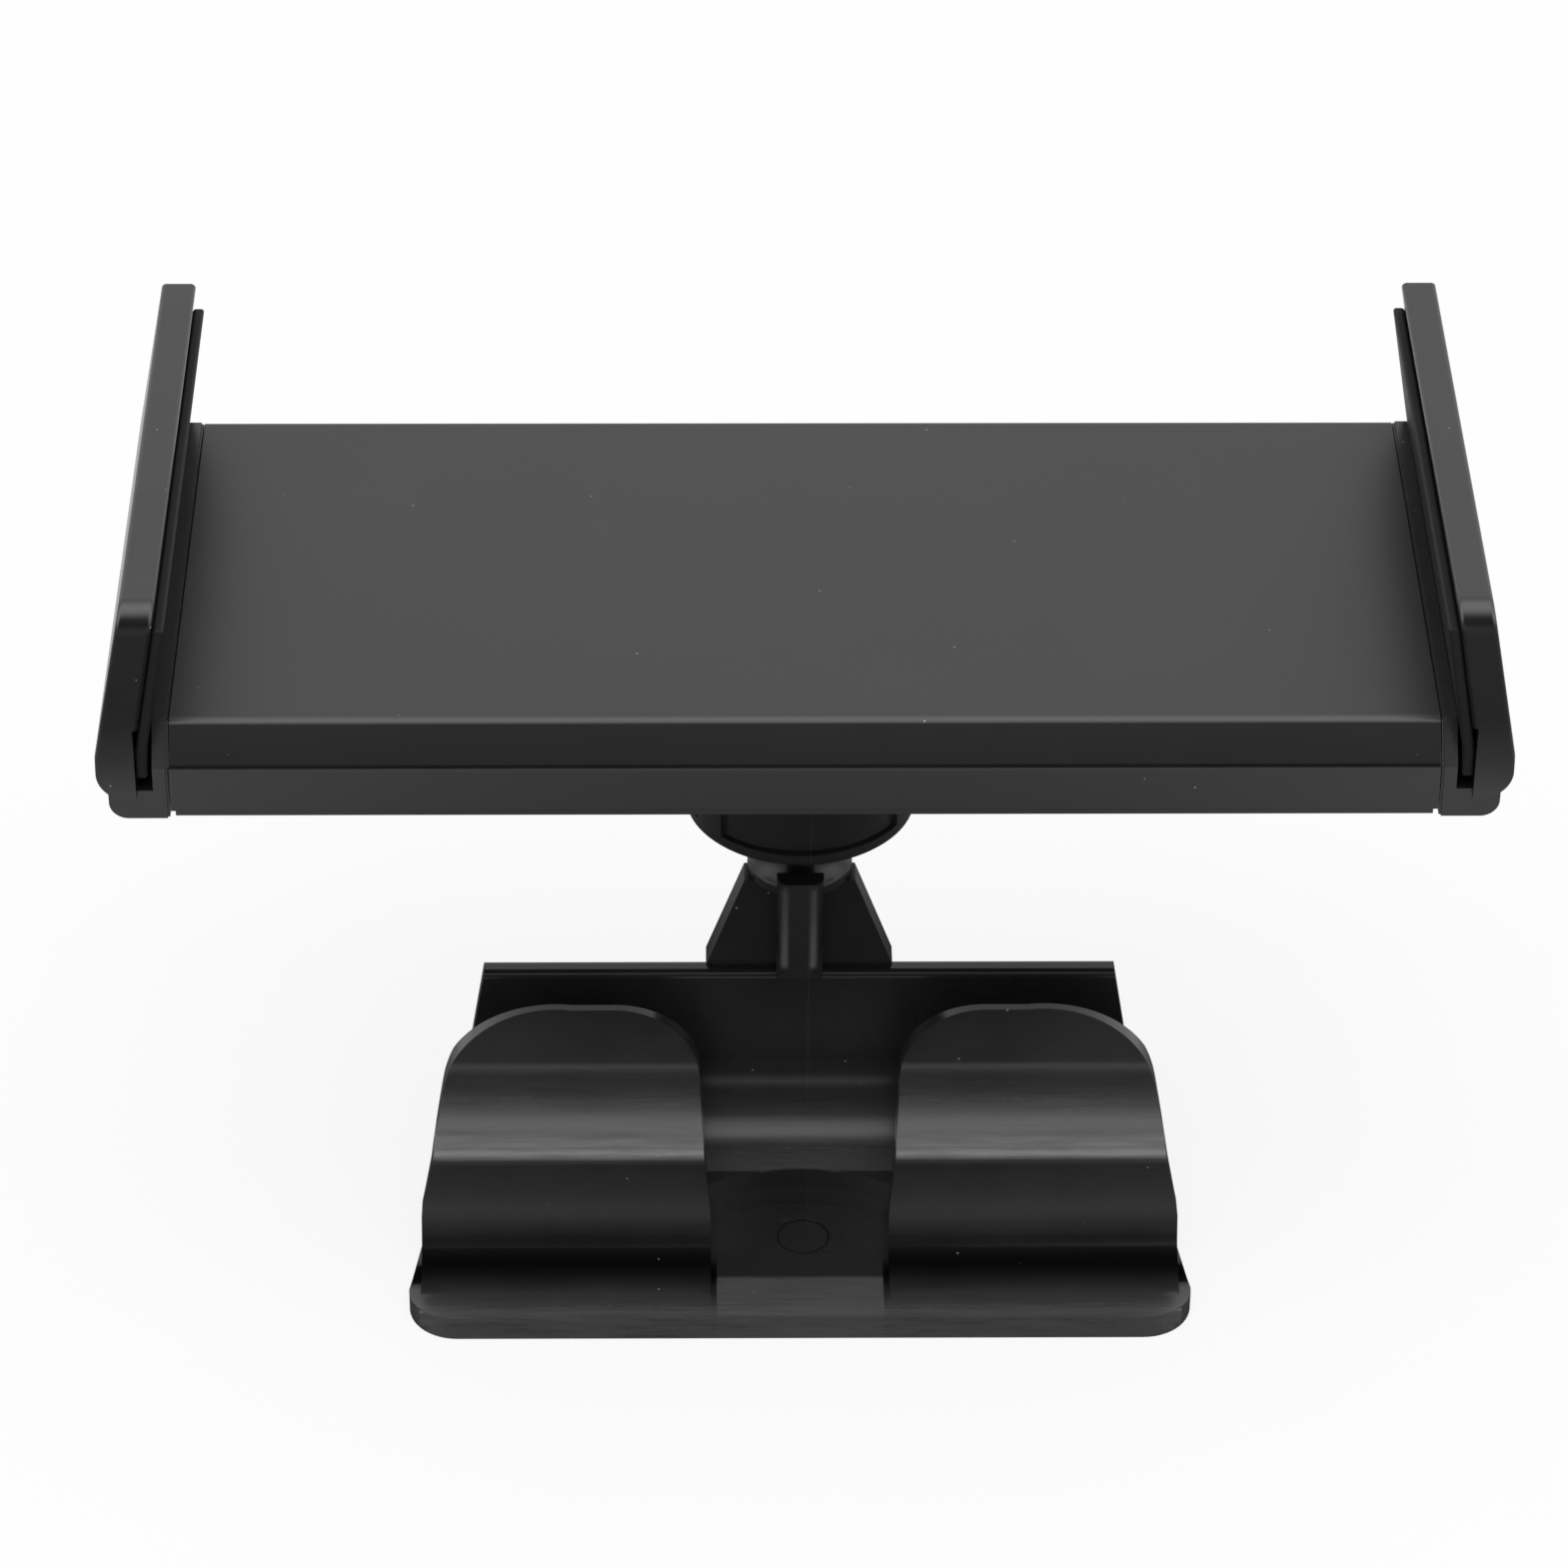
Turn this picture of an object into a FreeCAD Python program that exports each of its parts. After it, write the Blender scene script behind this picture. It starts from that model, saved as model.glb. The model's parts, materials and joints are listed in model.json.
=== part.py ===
import FreeCAD, Part
import Sketcher
import math
import os
import re

# Phone and tablet holder with a clamping cradle on a ball joint over a clip.
# Millimetres, +Z up. The origin is on the surface it stands on, under the middle of the ball.
# +X is the width that the jaws open along, and -Y is towards the clip's open side.

doc = FreeCAD.newDocument("Holder")
sheet = doc.addObject("Spreadsheet::Sheet", "Sizes")

sizes = {
    # cradle housing
    "cradleWide": 120.0, "cradleDeep": 57.8, "faceIn": 3.0, "creaseDrop": 3.7, "coverWall": 1.6,
    "coverRound": 1.3, "creaseRound": 1.0, "headRoom": 0.45, "rearFloor": 1.7, "lipTall": 0.8,
    "lipInset": 0.4, "lipFit": 0.05, "bossInset": 3.0, "bossRadius": 1.9,
    # screws
    "screwShank": 1.0, "screwHead": 1.9, "screwHeadTall": 1.1, "screwFit": 0.05, "screwBite": 5.0,
    "headFit": 0.1, "endFit": 0.1, "pilotSpare": 0.5, "wayFit": 0.3, "jawBite": 1.0, "pinionBite": 3.2,
    # slide plates, rack and pinion
    "travel": 40.0, "plateThick": 1.6, "plateHalf": 15.2, "plateGap": 0.1, "plateEndGap": 6.2,
    "plateGrip": 3.9, "seatFit": 0.05, "slotFit": 0.4, "guideTall": 0.5, "guideWide": 1.6,
    "guideInset": 3.2, "guideEnd": 8.0, "sideGuideWide": 1.2, "earRoom": 6.0, "windowFit": 0.15,
    "toothSize": 0.8, "toothCount": 14.0, "rackSpare": 2.0, "rackAddendum": 0.6,
    "toothDedendum": 1.0, "backlash": 0.16, "pressureAngle": 20.0,
    "pinionPost": 1.9, "pinionFit": 0.05, "gearRelief": 0.1, "washerRadius": 3.4, "washerThick": 0.4, "pinionHead": 2.2, "pinionHeadTall": 1.2,
    # springs
    "springInset": 3.7, "springRadius": 1.2, "springWire": 0.35, "springPostInset": 8.2,
    "springPost": 1.2, "springPostOver": 0.5, "earX": 12.0, "earLong": 2.0, "springSeat": 0.1,
    # jaws and pads
    "jawGap": 0.3, "jawBlock": 5.5, "jawCorner": 1.8, "jawStep": 1.0, "jawWall": 3.7, "jawTip": 3.4,
    "jawFootRise": 2.5, "jawFootRound": 3.0, "jawBendRise": 7.4, "jawRise": 14.5, "jawLean": 3.1,
    "jawProud": 0.6, "jawNose": 2.5, "jawRound": 0.5, "jawScrewY": 10.0, "jawScrewIn": 2.2,
    "padThick": 1.15, "padFit": 0.05, "padDrop": 2.5, "padInset": 0.5, "padSeat": 0.1, "padCap": 0.6,
    "notchRise": 3.2, "notchLong": 5.0, "padLegRise": 4.6,
    # ball joint
    "ballRadius": 8.0, "ballFit": 0.1, "cupWall": 0.9, "cupLip": 3.7, "cupCrown": 1.2,
    "cupTaper": 1.05, "cupTaperTall": 2.9, "cupTop": 0.1, "slitWide": 0.8, "slitTall": 7.3,
    "socketWall": 0.95, "socketTall": 10.0, "turnFit": 0.05, "threadFit": 0.1,
    "collarWall": 1.4, "collarSkirt": 5.8, "collarGap": 0.3, "collarFlange": 1.4, "collarEdge": 0.4,
    "collarRecess": 0.55, "collarStep": 0.3, "collarPads": 3.0, "collarPadAngle": 20.0,
    "collarPadTurn": 216.0, "collarMouthWall": 1.2, "collarSeat": 0.25, "collarLipTall": 0.45,
    "neckLong": 18.0, "neckRadius": 4.0, "neckFoot": 5.3, "neckFootTall": 1.2, "neckFlare": 4.0,
    "neckBow": 0.4,
    "spigotRadius": 2.8, "spigotTall": 9.5, "spigotFit": 0.06,
    "studShank": 1.2, "studHead": 2.7, "studHeadTall": 2.0, "studBite": 7.0, "studLedge": 2.0,
    # clip
    "baseWide": 79.2, "baseBackWide": 68.0, "baseFront": 29.3, "baseBack": 15.0, "baseThick": 2.7,
    "baseSideY": 24.0, "baseCorner": 5.0,
    "gutterDrop": 0.8, "gutterBack": 22.6, "lipDeep": 0.9,
    "wallFront": 3.6, "wallThick": 2.4, "wallTop": 26.7, "wallHalfTop": 31.9, "wallHalfLow": 36.0,
    "footRadius": 9.0, "footRise": 6.6, "stepRadius": 18.8, "stepY": 10.5, "stepFront": 13.2,
    "coveHalf": 11.0, "edgeRound": 0.8, "markY": 15.7, "markRadius": 3.2, "markDeep": 0.15,
    "tabGap": 18.1, "tabOuter": 38.4, "tabTop": 27.2, "tabThick": 2.4, "tabTip": 0.9, "tabTopY": 10.4,
    "tabRoot": 1.0, "tabFootBow": 1.1, "creaseY": 19.9, "creaseZ": 4.6, "creaseLean": 0.6,
    "tabSlopeBow": 0.35, "shoulderY": 17.4, "shoulderZ": 13.2, "shoulderRound": 1.1,
    "shoulderDrop": 1.0, "throatZ": 21.0, "throatLean": 0.4, "throatBow": 1.0, "throatBackBow": 1.4,
    "tabSlope": 2.2, "tabSlopeZ": 7.2, "tabRoundZ": 18.0, "tabCrownOut": 23.0, "tabCrownIn": 19.0,
    "tabOuterBow": 3.15, "tabInnerBow": 2.85,
    "seatHeight": 37.4, "webFront": 2.2, "webThick": 3.0, "webFoot": 9.5, "webHead": 5.6,
    "webRoot": 4.0, "ribRoot": 2.0, "hubLow": 18.0, "ribHalf": 2.35, "ribRound": 1.2, "ribFit": 0.2,
    "ribDeep": 2.1, "ribOver": 3.4,
    "gussetX": 20.0, "gussetThick": 2.0, "gussetTall": 17.0, "gussetDeep": 11.0,
    # how far a cut runs past a piece, and how deep an added rib is rooted
    "overrun": 1.0, "sink": 0.2,
}

for row, (alias, number) in enumerate(sizes.items(), start=1):
    sheet.set("A%d" % row, alias)
    sheet.set("B%d" % row, str(number))
    sheet.setAlias("B%d" % row, alias)
doc.recompute()

# Sizes that follow from the others.
derived = {
    "ballHeight": "seatHeight + neckLong",
    "underside": "ballHeight + ballRadius + ballFit + cupCrown + cupTop",
    "floorTop": "underside + rearFloor",
    "innerX": "cradleWide / 2 - coverWall",
    "innerY": "cradleDeep / 2 - coverWall",
    "bossX": "innerX - bossInset",
    "bossY": "innerY - bossInset",
    "lowPlate": "floorTop + guideTall + plateGap",
    "highPlate": "lowPlate + plateThick + plateGap",
    "plateTop": "highPlate + plateThick",
    "plateEnd": "innerX - plateEndGap",
    "guideY": "plateHalf - guideInset",
    "guideHalf": "cradleWide / 2 - guideEnd",
    "sideGuideStart": "travel - earX + earLong / 2 + earRoom",
    "springY": "innerY - springInset",
    "springPostX": "innerX - springPostInset",
    "pitchRadius": "toothSize * toothCount / 2",
    "toothPitch": "toothSize * pi",
    "tipRadius": "pitchRadius + toothSize",
    "rackRoot": "pitchRadius + toothDedendum",
    "rackTeeth": "ceil(travel / toothPitch) + 2 * rackSpare",
    "cupOuter": "ballRadius + ballFit + cupWall",
    "socketInner": "cupOuter + turnFit",
    "socketOuter": "socketInner + socketWall",
    "collarBore": "socketOuter + threadFit",
    "collarRadius": "collarBore + collarWall",
    "collarLow": "cupLow - collarSkirt",
    "collarTop": "underside - collarGap",
    "collarSill": "collarLow + collarFlange",
    "jawInner": "cradleWide / 2 + jawGap",
    "jawOuter": "jawInner + jawBlock",
    "jawTop": "faceHeight + jawRise",
    "jawFront": "cradleDeep / 2 + jawProud",
    "padLong": "cradleDeep + jawProud - 2 * padInset",
    "padLegLong": "notchLong - padSeat - padInset",
    "floorClip": "baseThick - gutterDrop",
    "wallBack": "wallFront - wallThick",
    "arcShare": "1 - sqrt(0.5)",
    "coveSide": "sqrt(stepRadius ^ 2 - coveHalf ^ 2) - stepY - stepRadius",
    "hubChord": "sqrt(neckFoot ^ 2 - webFront ^ 2)",
    "studLedgeLow": "seatHeight - spigotTall - studLedge",
    "studPilot": "studShank + screwFit",
    "studPilotTop": "seatHeight - spigotTall + studBite",
    "cupBall": "ballRadius + ballFit",
    "cupLow": "ballHeight - cupLip",
    "cupMouth": "sqrt(cupBall ^ 2 - cupLip ^ 2)",
    "collarWaist": "collarRadius - collarRecess",
    "pinionLow": "floorTop + plateGap",
    "pinionTop": "plateTop + plateGap",
    "washerLow": "pinionTop + plateGap",
    "roof": "washerLow + washerThick + pinionHeadTall + headRoom",
    "faceHeight": "roof + coverWall",
    "faceHalf": "cradleDeep / 2 - faceIn",
    "creaseHeight": "faceHeight - creaseDrop",
    "facetLong": "sqrt(faceIn ^ 2 + creaseDrop ^ 2)",
    "innerCrease": "creaseHeight - coverWall * (facetLong - creaseDrop) / faceIn",
    "roofHalf": "faceHalf - coverWall * (facetLong - faceIn) / creaseDrop",
    "slotEnd": "tipRadius + slotFit",
    "rackHalf": "(toothPitch - backlash) / 4",
    "rackHalfRoot": "rackHalf + toothDedendum * tan(pressureAngle * 1 deg)",
    "rackHalfTip": "rackHalf - rackAddendum * tan(pressureAngle * 1 deg)",
    "jawWide": "jawOuter + jawStep",
    "jawFoot": "underside + jawFootRise",
    "jawBend": "underside + jawBendRise",
    "jawScrewX": "jawInner + jawScrewIn",
    "wallIn": "jawWide - jawWall",
    "wallInTop": "jawWide - jawLean - jawTip",
    "grooveLow": "plateTop + jawBite + pilotSpare + padCap",
    "grooveIn": "wallIn - (wallIn - wallInTop) * (faceHeight - jawBend) / (jawTop - jawBend)"
                " - padThick - padFit",
    "padLow": "grooveLow + padSeat",
    "padHigh": "jawTop - padDrop",
    "padLowIn": "wallIn - (wallIn - wallInTop) * (padLow - jawBend) / (jawTop - jawBend)",
    "padHighIn": "wallIn - (wallIn - wallInTop) * (padHigh - jawBend) / (jawTop - jawBend)",
}


def full(expression):
    """Write an expression with every size's name in full."""
    def swap(match):
        word = match.group()
        if word in derived:
            return "(" + full(derived[word]) + ")"
        return "Sizes." + word if word in sizes else word
    return re.sub(r"[A-Za-z]+", swap, str(expression))


def value(expression):
    result = sheet.evalExpression(full(expression))
    return float(getattr(result, "Value", result))


def bind(target, prop, expression):
    target.setExpression(prop, full(expression))


def newBody(name):
    body = doc.addObject("PartDesign::Body", name)
    body.Label = name
    return body


def sketchOn(body, role, name, offset="0"):
    """A sketch on one of the body's own origin planes, moved along its normal."""
    plane = next(item for item in body.Origin.OriginFeatures if item.Role == role)
    sketch = body.newObject("Sketcher::SketchObject", name)
    sketch.AttachmentSupport = [(plane, "")]
    sketch.MapMode = "FlatFace"
    if offset != "0":
        bind(sketch, "AttachmentOffset.Base.z", offset)
    doc.recompute()
    return sketch


def fix(sketch, geometry, place, x, y):
    """Tie a point of the sketch to its two coordinates."""
    for kind, expression in (("DistanceX", x), ("DistanceY", y)):
        number = value(expression)
        index = sketch.addConstraint(Sketcher.Constraint(kind, -1, 1, geometry, place, number))
        bind(sketch, "Constraints[%d]" % index, expression)


def bowed(start, end, bow):
    """The middle of an arc that stands off its chord, to the right of the way it is drawn."""
    x0, y0, x1, y1 = start[0], start[1], end[0], end[1]
    chord = "sqrt(((%s) - (%s)) ^ 2 + ((%s) - (%s)) ^ 2)" % (x1, x0, y1, y0)
    return ("((%s) + (%s)) / 2 + (%s) * ((%s) - (%s)) / %s" % (x0, x1, bow, y1, y0, chord),
            "((%s) + (%s)) / 2 - (%s) * ((%s) - (%s)) / %s" % (y0, y1, bow, x1, x0, chord))


def outline(sketch, points):
    """Draw a closed outline. A third entry is the bow of the arc that reaches a point, and a third
    and fourth are a place on that arc."""
    places = [FreeCAD.Vector(value(p[0]), value(p[1]), 0) for p in points]
    pieces = []
    for index, point in enumerate(points):
        start, end = places[index - 1], places[index]
        if len(point) == 3:
            point = point[:2] + bowed(points[index - 1], point, point[2])
        if len(point) == 4:
            middle = FreeCAD.Vector(value(point[2]), value(point[3]), 0)
            left = (middle - start).cross(end - middle).z > 0
            ends = (start, end) if left else (end, start)
            piece = sketch.addGeometry(Part.Arc(ends[0], middle, ends[1]), False)
            mark = sketch.addGeometry(Part.Point(middle), True)
            fix(sketch, mark, 1, point[2], point[3])
            sketch.addConstraint(Sketcher.Constraint("PointOnObject", mark, 1, piece))
            pieces.append((piece, 1, 2) if left else (piece, 2, 1))
        else:
            pieces.append((sketch.addGeometry(Part.LineSegment(start, end), False), 1, 2))
    for index, (piece, first, last) in enumerate(pieces):
        before = pieces[index - 1]
        sketch.addConstraint(Sketcher.Constraint("Coincident", before[0], before[2], piece, first))
        fix(sketch, piece, last, points[index][0], points[index][1])


def ring(sketch, x, y, radius):
    center = FreeCAD.Vector(value(x), value(y), 0)
    piece = sketch.addGeometry(Part.Circle(center, FreeCAD.Vector(0, 0, 1), value(radius)), False)
    fix(sketch, piece, 3, x, y)
    index = sketch.addConstraint(Sketcher.Constraint("Radius", piece, value(radius)))
    bind(sketch, "Constraints[%d]" % index, radius)


def box(sketch, x0, x1, y0, y1):
    outline(sketch, [(x0, y0), (x1, y0), (x1, y1), (x0, y1)])


def extrude(body, kind, sketch, length, back=False):
    """Pad or pocket a sketch, and check that it changed the body the right way."""
    doc.recompute()
    before = body.Shape.Volume if body.Tip else 0.0
    feature = body.newObject("PartDesign::" + kind, sketch.Name + kind)
    feature.Profile = sketch
    bind(feature, "Length", length)
    feature.Reversed = back
    sketch.Visibility = False
    body.Tip = feature
    doc.recompute()
    grown = body.Shape.Volume - before
    if (grown <= 0) if kind == "Pad" else (grown >= 0):
        raise RuntimeError("%s changes nothing on %s" % (feature.Name, body.Label))
    return feature


def turned(body, sketch):
    """Turn a sketch about the upright axis of its plane."""
    feature = body.newObject("PartDesign::Revolution", sketch.Name + "Turned")
    feature.Profile = sketch
    feature.ReferenceAxis = (sketch, ["V_Axis"])
    feature.Angle = 360
    body.Tip = feature
    doc.recompute()
    return feature


def rounded(body, name, radius, choose):
    """Round the edges of the body that the test picks."""
    doc.recompute()
    base = body.Tip
    edges = ["Edge%d" % (i + 1) for i, edge in enumerate(base.Shape.Edges) if choose(edge)]
    feature = body.newObject("PartDesign::Fillet", name)
    feature.Base = (base, edges)
    bind(feature, "Radius", radius)
    body.Tip = feature
    doc.recompute()
    return feature


def near(a, b, slack=0.01):
    return abs(a - b) < slack


def upright(edge):
    ends = [vertex.Point for vertex in edge.Vertexes]
    return len(ends) == 2 and near(ends[0].x, ends[1].x) and near(ends[0].y, ends[1].y)


def level(height, longer):
    """A test for the edges that lie level at a height and are longer than a length."""
    height, longer = value(height), value(longer)
    return lambda edge: edge.Length > longer and all(near(v.Z, height) for v in edge.Vertexes)


def rod(name, radius, low, high, x="0", y="0"):
    piece = doc.addObject("Part::Cylinder", name)
    bind(piece, "Radius", radius)
    bind(piece, "Height", "(%s) - (%s)" % (high, low))
    bind(piece, "Placement.Base.x", x)
    bind(piece, "Placement.Base.y", y)
    bind(piece, "Placement.Base.z", low)
    return piece


def joined(name, kind, pieces, label=None):
    piece = doc.addObject("Part::" + kind, name)
    piece.Shapes = pieces
    piece.Label = label or name
    return piece


def screw(name, headLow, headRadius, headTall, shankRadius, shankTop, x="0", y="0", down=False):
    """A pan head screw. It points up, or down when told so."""
    headHigh = "(%s) + (%s)" % (headLow, headTall)
    head = rod(name + "Head", headRadius, headLow, headHigh, x, y)
    ends = (shankTop, headLow) if down else (headHigh, shankTop)
    shank = rod(name + "Shank", shankRadius, ends[0], ends[1], x, y)
    return joined(name, "MultiFuse", [head, shank])


def clipBracket():
    body = newBody("clipMain")
    plan = sketchOn(body, "XY_Plane", "footPlan")
    outline(plan, [("-baseWide / 2", "-baseFront"), ("baseWide / 2", "-baseFront"),
                   ("baseWide / 2", "-baseSideY"), ("baseBackWide / 2", "baseBack"),
                   ("-baseBackWide / 2", "baseBack"), ("-baseWide / 2", "-baseSideY")])
    extrude(body, "Pad", plan, "baseThick")
    rounded(body, "footCorners", "baseCorner",
            lambda edge: upright(edge) and not near(edge.Vertexes[0].Y, value("-baseSideY")))
    gutter = sketchOn(body, "YZ_Plane", "gutter", "-baseWide / 2 - overrun")
    outline(gutter, [("-baseFront + lipDeep", "baseThick"), ("-gutterBack", "floorClip"),
                     ("-wallFront", "floorClip"), ("-wallFront", "baseThick + overrun"),
                     ("-baseFront + lipDeep", "baseThick + overrun")])
    extrude(body, "Pocket", gutter, "baseWide + 2 * overrun", back=True)
    # The wall curves forward at its foot into a low step.
    wall = sketchOn(body, "YZ_Plane", "wall", "-wallHalfLow")
    outline(wall, [("-wallBack", "0"), ("-wallBack", "wallTop"), ("-wallFront", "wallTop"),
                   ("-wallFront", "footRise + footRadius"),
                   ("-wallFront - footRadius", "footRise", "-footRadius * arcShare"),
                   ("-stepFront", "footRise"), ("-stepFront", "0")])
    extrude(body, "Pad", wall, "2 * wallHalfLow")
    for side in (-1, 1):
        slope = sketchOn(body, "XZ_Plane", "wallSide%s" % sideName(side), "stepFront + overrun")
        outline(slope, [("%d * wallHalfTop" % side, "wallTop + overrun"),
                        ("%d * (wallHalfLow + overrun)" % side, "wallTop + overrun"),
                        ("%d * (wallHalfLow + overrun)" % side, "baseThick"),
                        ("%d * wallHalfLow" % side, "baseThick")])
        extrude(body, "Pocket", slope, "stepFront + 2 * overrun")
    rounded(body, "wallRim", "edgeRound", level("wallTop", "wallHalfTop"))
    cove = sketchOn(body, "XY_Plane", "cove", "footRise + footRadius / 2")
    outline(cove, [("-coveHalf", "-gutterBack"), ("coveHalf", "-gutterBack"),
                   ("coveHalf", "coveSide"), ("-coveHalf", "coveSide", "0", "-stepY")])
    extrude(body, "Pocket", cove, "footRise + footRadius / 2 - floorClip")
    mark = sketchOn(body, "XY_Plane", "ejectorMark", "floorClip")
    ring(mark, "0", "-markY", "markRadius")
    extrude(body, "Pocket", mark, "markDeep")
    # The web carries the ball stud over the wall.
    web = sketchOn(body, "XZ_Plane", "web", "webFront")
    outline(web, [("-webFoot", "wallTop - webRoot"), ("webFoot", "wallTop - webRoot"),
                  ("webFoot", "wallTop"), ("webHead", "seatHeight"), ("-webHead", "seatHeight"),
                  ("-webFoot", "wallTop")])
    extrude(body, "Pad", web, "webThick", back=True)
    hub = sketchOn(body, "XY_Plane", "hub", "hubLow")
    outline(hub, [("hubChord", "-webFront"), ("-hubChord", "-webFront", "0", "neckFoot")])
    extrude(body, "Pad", hub, "seatHeight - hubLow")
    # A rib in front of the web rises past the foot of the neck.
    rib = sketchOn(body, "YZ_Plane", "frontRib", "-ribHalf")
    outline(rib, [("-wallFront", "wallTop - ribRoot"), ("-webFront + sink", "wallTop - ribRoot"),
                  ("-webFront + sink", "seatHeight"), ("-neckFoot - ribFit", "seatHeight"),
                  ("-neckFoot - ribFit", "seatHeight + ribOver"),
                  ("-neckFoot - ribFit - ribDeep", "seatHeight + ribOver"), ("-wallFront", "wallTop")])
    extrude(body, "Pad", rib, "2 * ribHalf")
    rounded(body, "ribEdges", "ribRound", ribFront)
    for side in (-1, 1):
        gusset = sketchOn(body, "YZ_Plane", "gusset%s" % sideName(side),
                          "%d * gussetX - gussetThick / 2" % side)
        outline(gusset, [("-wallBack - sink", "baseThick - sink"), ("gussetDeep", "baseThick - sink"),
                         ("gussetDeep", "baseThick"), ("-wallBack", "gussetTall"),
                         ("-wallBack - sink", "gussetTall")])
        extrude(body, "Pad", gusset, "gussetThick")
    bore = sketchOn(body, "XY_Plane", "spigotBore", "seatHeight")
    ring(bore, "0", "0", "spigotRadius + spigotFit")
    extrude(body, "Pocket", bore, "spigotTall + endFit")
    way = sketchOn(body, "XY_Plane", "screwWay", "seatHeight")
    ring(way, "0", "0", "studShank + wayFit")
    extrude(body, "Pocket", way, "seatHeight - hubLow")
    well = sketchOn(body, "XY_Plane", "headWell", "hubLow")
    ring(well, "0", "0", "studHead + headFit")
    extrude(body, "Pocket", well, "studLedgeLow - hubLow", back=True)

    # Each tab is a springy sheet: its bent section, kept inside its arched outline.
    section = newBody("tabSection")
    bend = sketchOn(section, "YZ_Plane", "tabBend", "tabGap / 2")
    outline(bend, [("-baseFront + lipDeep", "tabRoot"), ("-baseFront + lipDeep", "baseThick"),
                   ("-creaseY", "creaseZ", "tabFootBow"), ("-shoulderY", "shoulderZ", "tabSlopeBow"),
                   ("-shoulderY + shoulderRound", "shoulderZ + shoulderRound", "-shoulderRound * arcShare"),
                   ("-tabTopY - throatLean", "throatZ", "throatBow"), ("-tabTopY", "tabTop"),
                   ("-tabTopY", "tabTop + overrun"), ("-tabTopY + tabTip", "tabTop + overrun"),
                   ("-tabTopY + tabTip", "tabTop"), ("-tabTopY + tabThick - throatLean", "throatZ"),
                   ("-shoulderY + tabThick", "shoulderZ - shoulderDrop", "-throatBackBow"),
                   ("-(creaseY + shoulderY) / 2 + tabThick + tabSlopeBow", "(creaseZ + shoulderZ) / 2"),
                   ("-creaseY + tabThick + creaseLean", "floorClip"),
                   ("-creaseY + tabThick + creaseLean", "tabRoot")])
    extrude(section, "Pad", bend, "tabOuter - tabGap / 2")
    arch = newBody("tabArch")
    shape = sketchOn(arch, "XZ_Plane", "tabOutline", "wallFront")
    outline(shape, [("tabGap / 2", "0"), ("tabOuter", "0"), ("tabOuter", "tabSlopeZ"),
                    ("tabOuter - tabSlope", "tabRoundZ"), ("tabCrownOut", "tabTop", "tabOuterBow"),
                    ("tabCrownIn", "tabTop"), ("tabGap / 2 + tabSlope / 2", "tabRoundZ", "tabInnerBow"),
                    ("tabGap / 2", "tabSlopeZ")])
    extrude(arch, "Pad", shape, "baseFront")
    tab = joined("tabRight", "MultiCommon", [section, arch])
    other = doc.addObject("Part::Mirroring", "tabLeft")
    other.Source = tab
    other.Normal = FreeCAD.Vector(1, 0, 0)
    piece = joined("clipBracket", "MultiFuse", [body, tab, other], "clip_bracket")
    piece.Refine = True
    return piece


def ribFront(edge):
    """The two long edges down the front of the rib."""
    ends = sorted((vertex.Point for vertex in edge.Vertexes), key=lambda point: point.z)
    return (len(ends) == 2 and near(ends[0].y, value("-wallFront")) and near(ends[0].z, value("wallTop"))
            and near(ends[1].z, value("seatHeight + ribOver")))


def sideName(side):
    return "Right" if side > 0 else "Left"


def ballStud():
    body = newBody("ball_stud")
    half = sketchOn(body, "XZ_Plane", "studHalf")
    outline(half, [("studPilot", "seatHeight - spigotTall"), ("spigotRadius", "seatHeight - spigotTall"),
                   ("spigotRadius", "seatHeight"), ("neckFoot", "seatHeight"),
                   ("neckFoot", "seatHeight + neckFootTall"),
                   ("neckRadius", "seatHeight + neckFootTall + neckFlare", "-neckBow"),
                   ("neckRadius", "ballHeight - sqrt(ballRadius ^ 2 - neckRadius ^ 2)"),
                   ("0", "ballHeight + ballRadius", "ballRadius", "ballHeight"),
                   ("0", "studPilotTop"), ("studPilot", "studPilotTop")])
    turned(body, half)
    screw("stud_screw", "studLedgeLow - studHeadTall", "studHead", "studHeadTall", "studShank",
          "studPilotTop - pilotSpare")
    return body


def ballCup():
    body = newBody("ball_cup")
    half = sketchOn(body, "XZ_Plane", "cupHalf")
    outline(half, [("cupMouth", "cupLow", "cupBall * sqrt(0.5)", "ballHeight + cupBall * sqrt(0.5)"),
                   ("cupOuter - cupTaper", "cupLow"), ("cupOuter", "cupLow + cupTaperTall"),
                   ("cupOuter", "underside - cupTop"), ("0", "underside - cupTop"),
                   ("0", "ballHeight + cupBall")])
    turned(body, half)
    for plane in ("XZ_Plane", "YZ_Plane"):
        slit = sketchOn(body, plane, "slit" + plane[:2], "-cupOuter - overrun")
        box(slit, "-slitWide / 2", "slitWide / 2", "cupLow - overrun", "cupLow + slitTall")
        extrude(body, "Pocket", slit, "2 * cupOuter + 2 * overrun", back=True)
    return body


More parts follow.
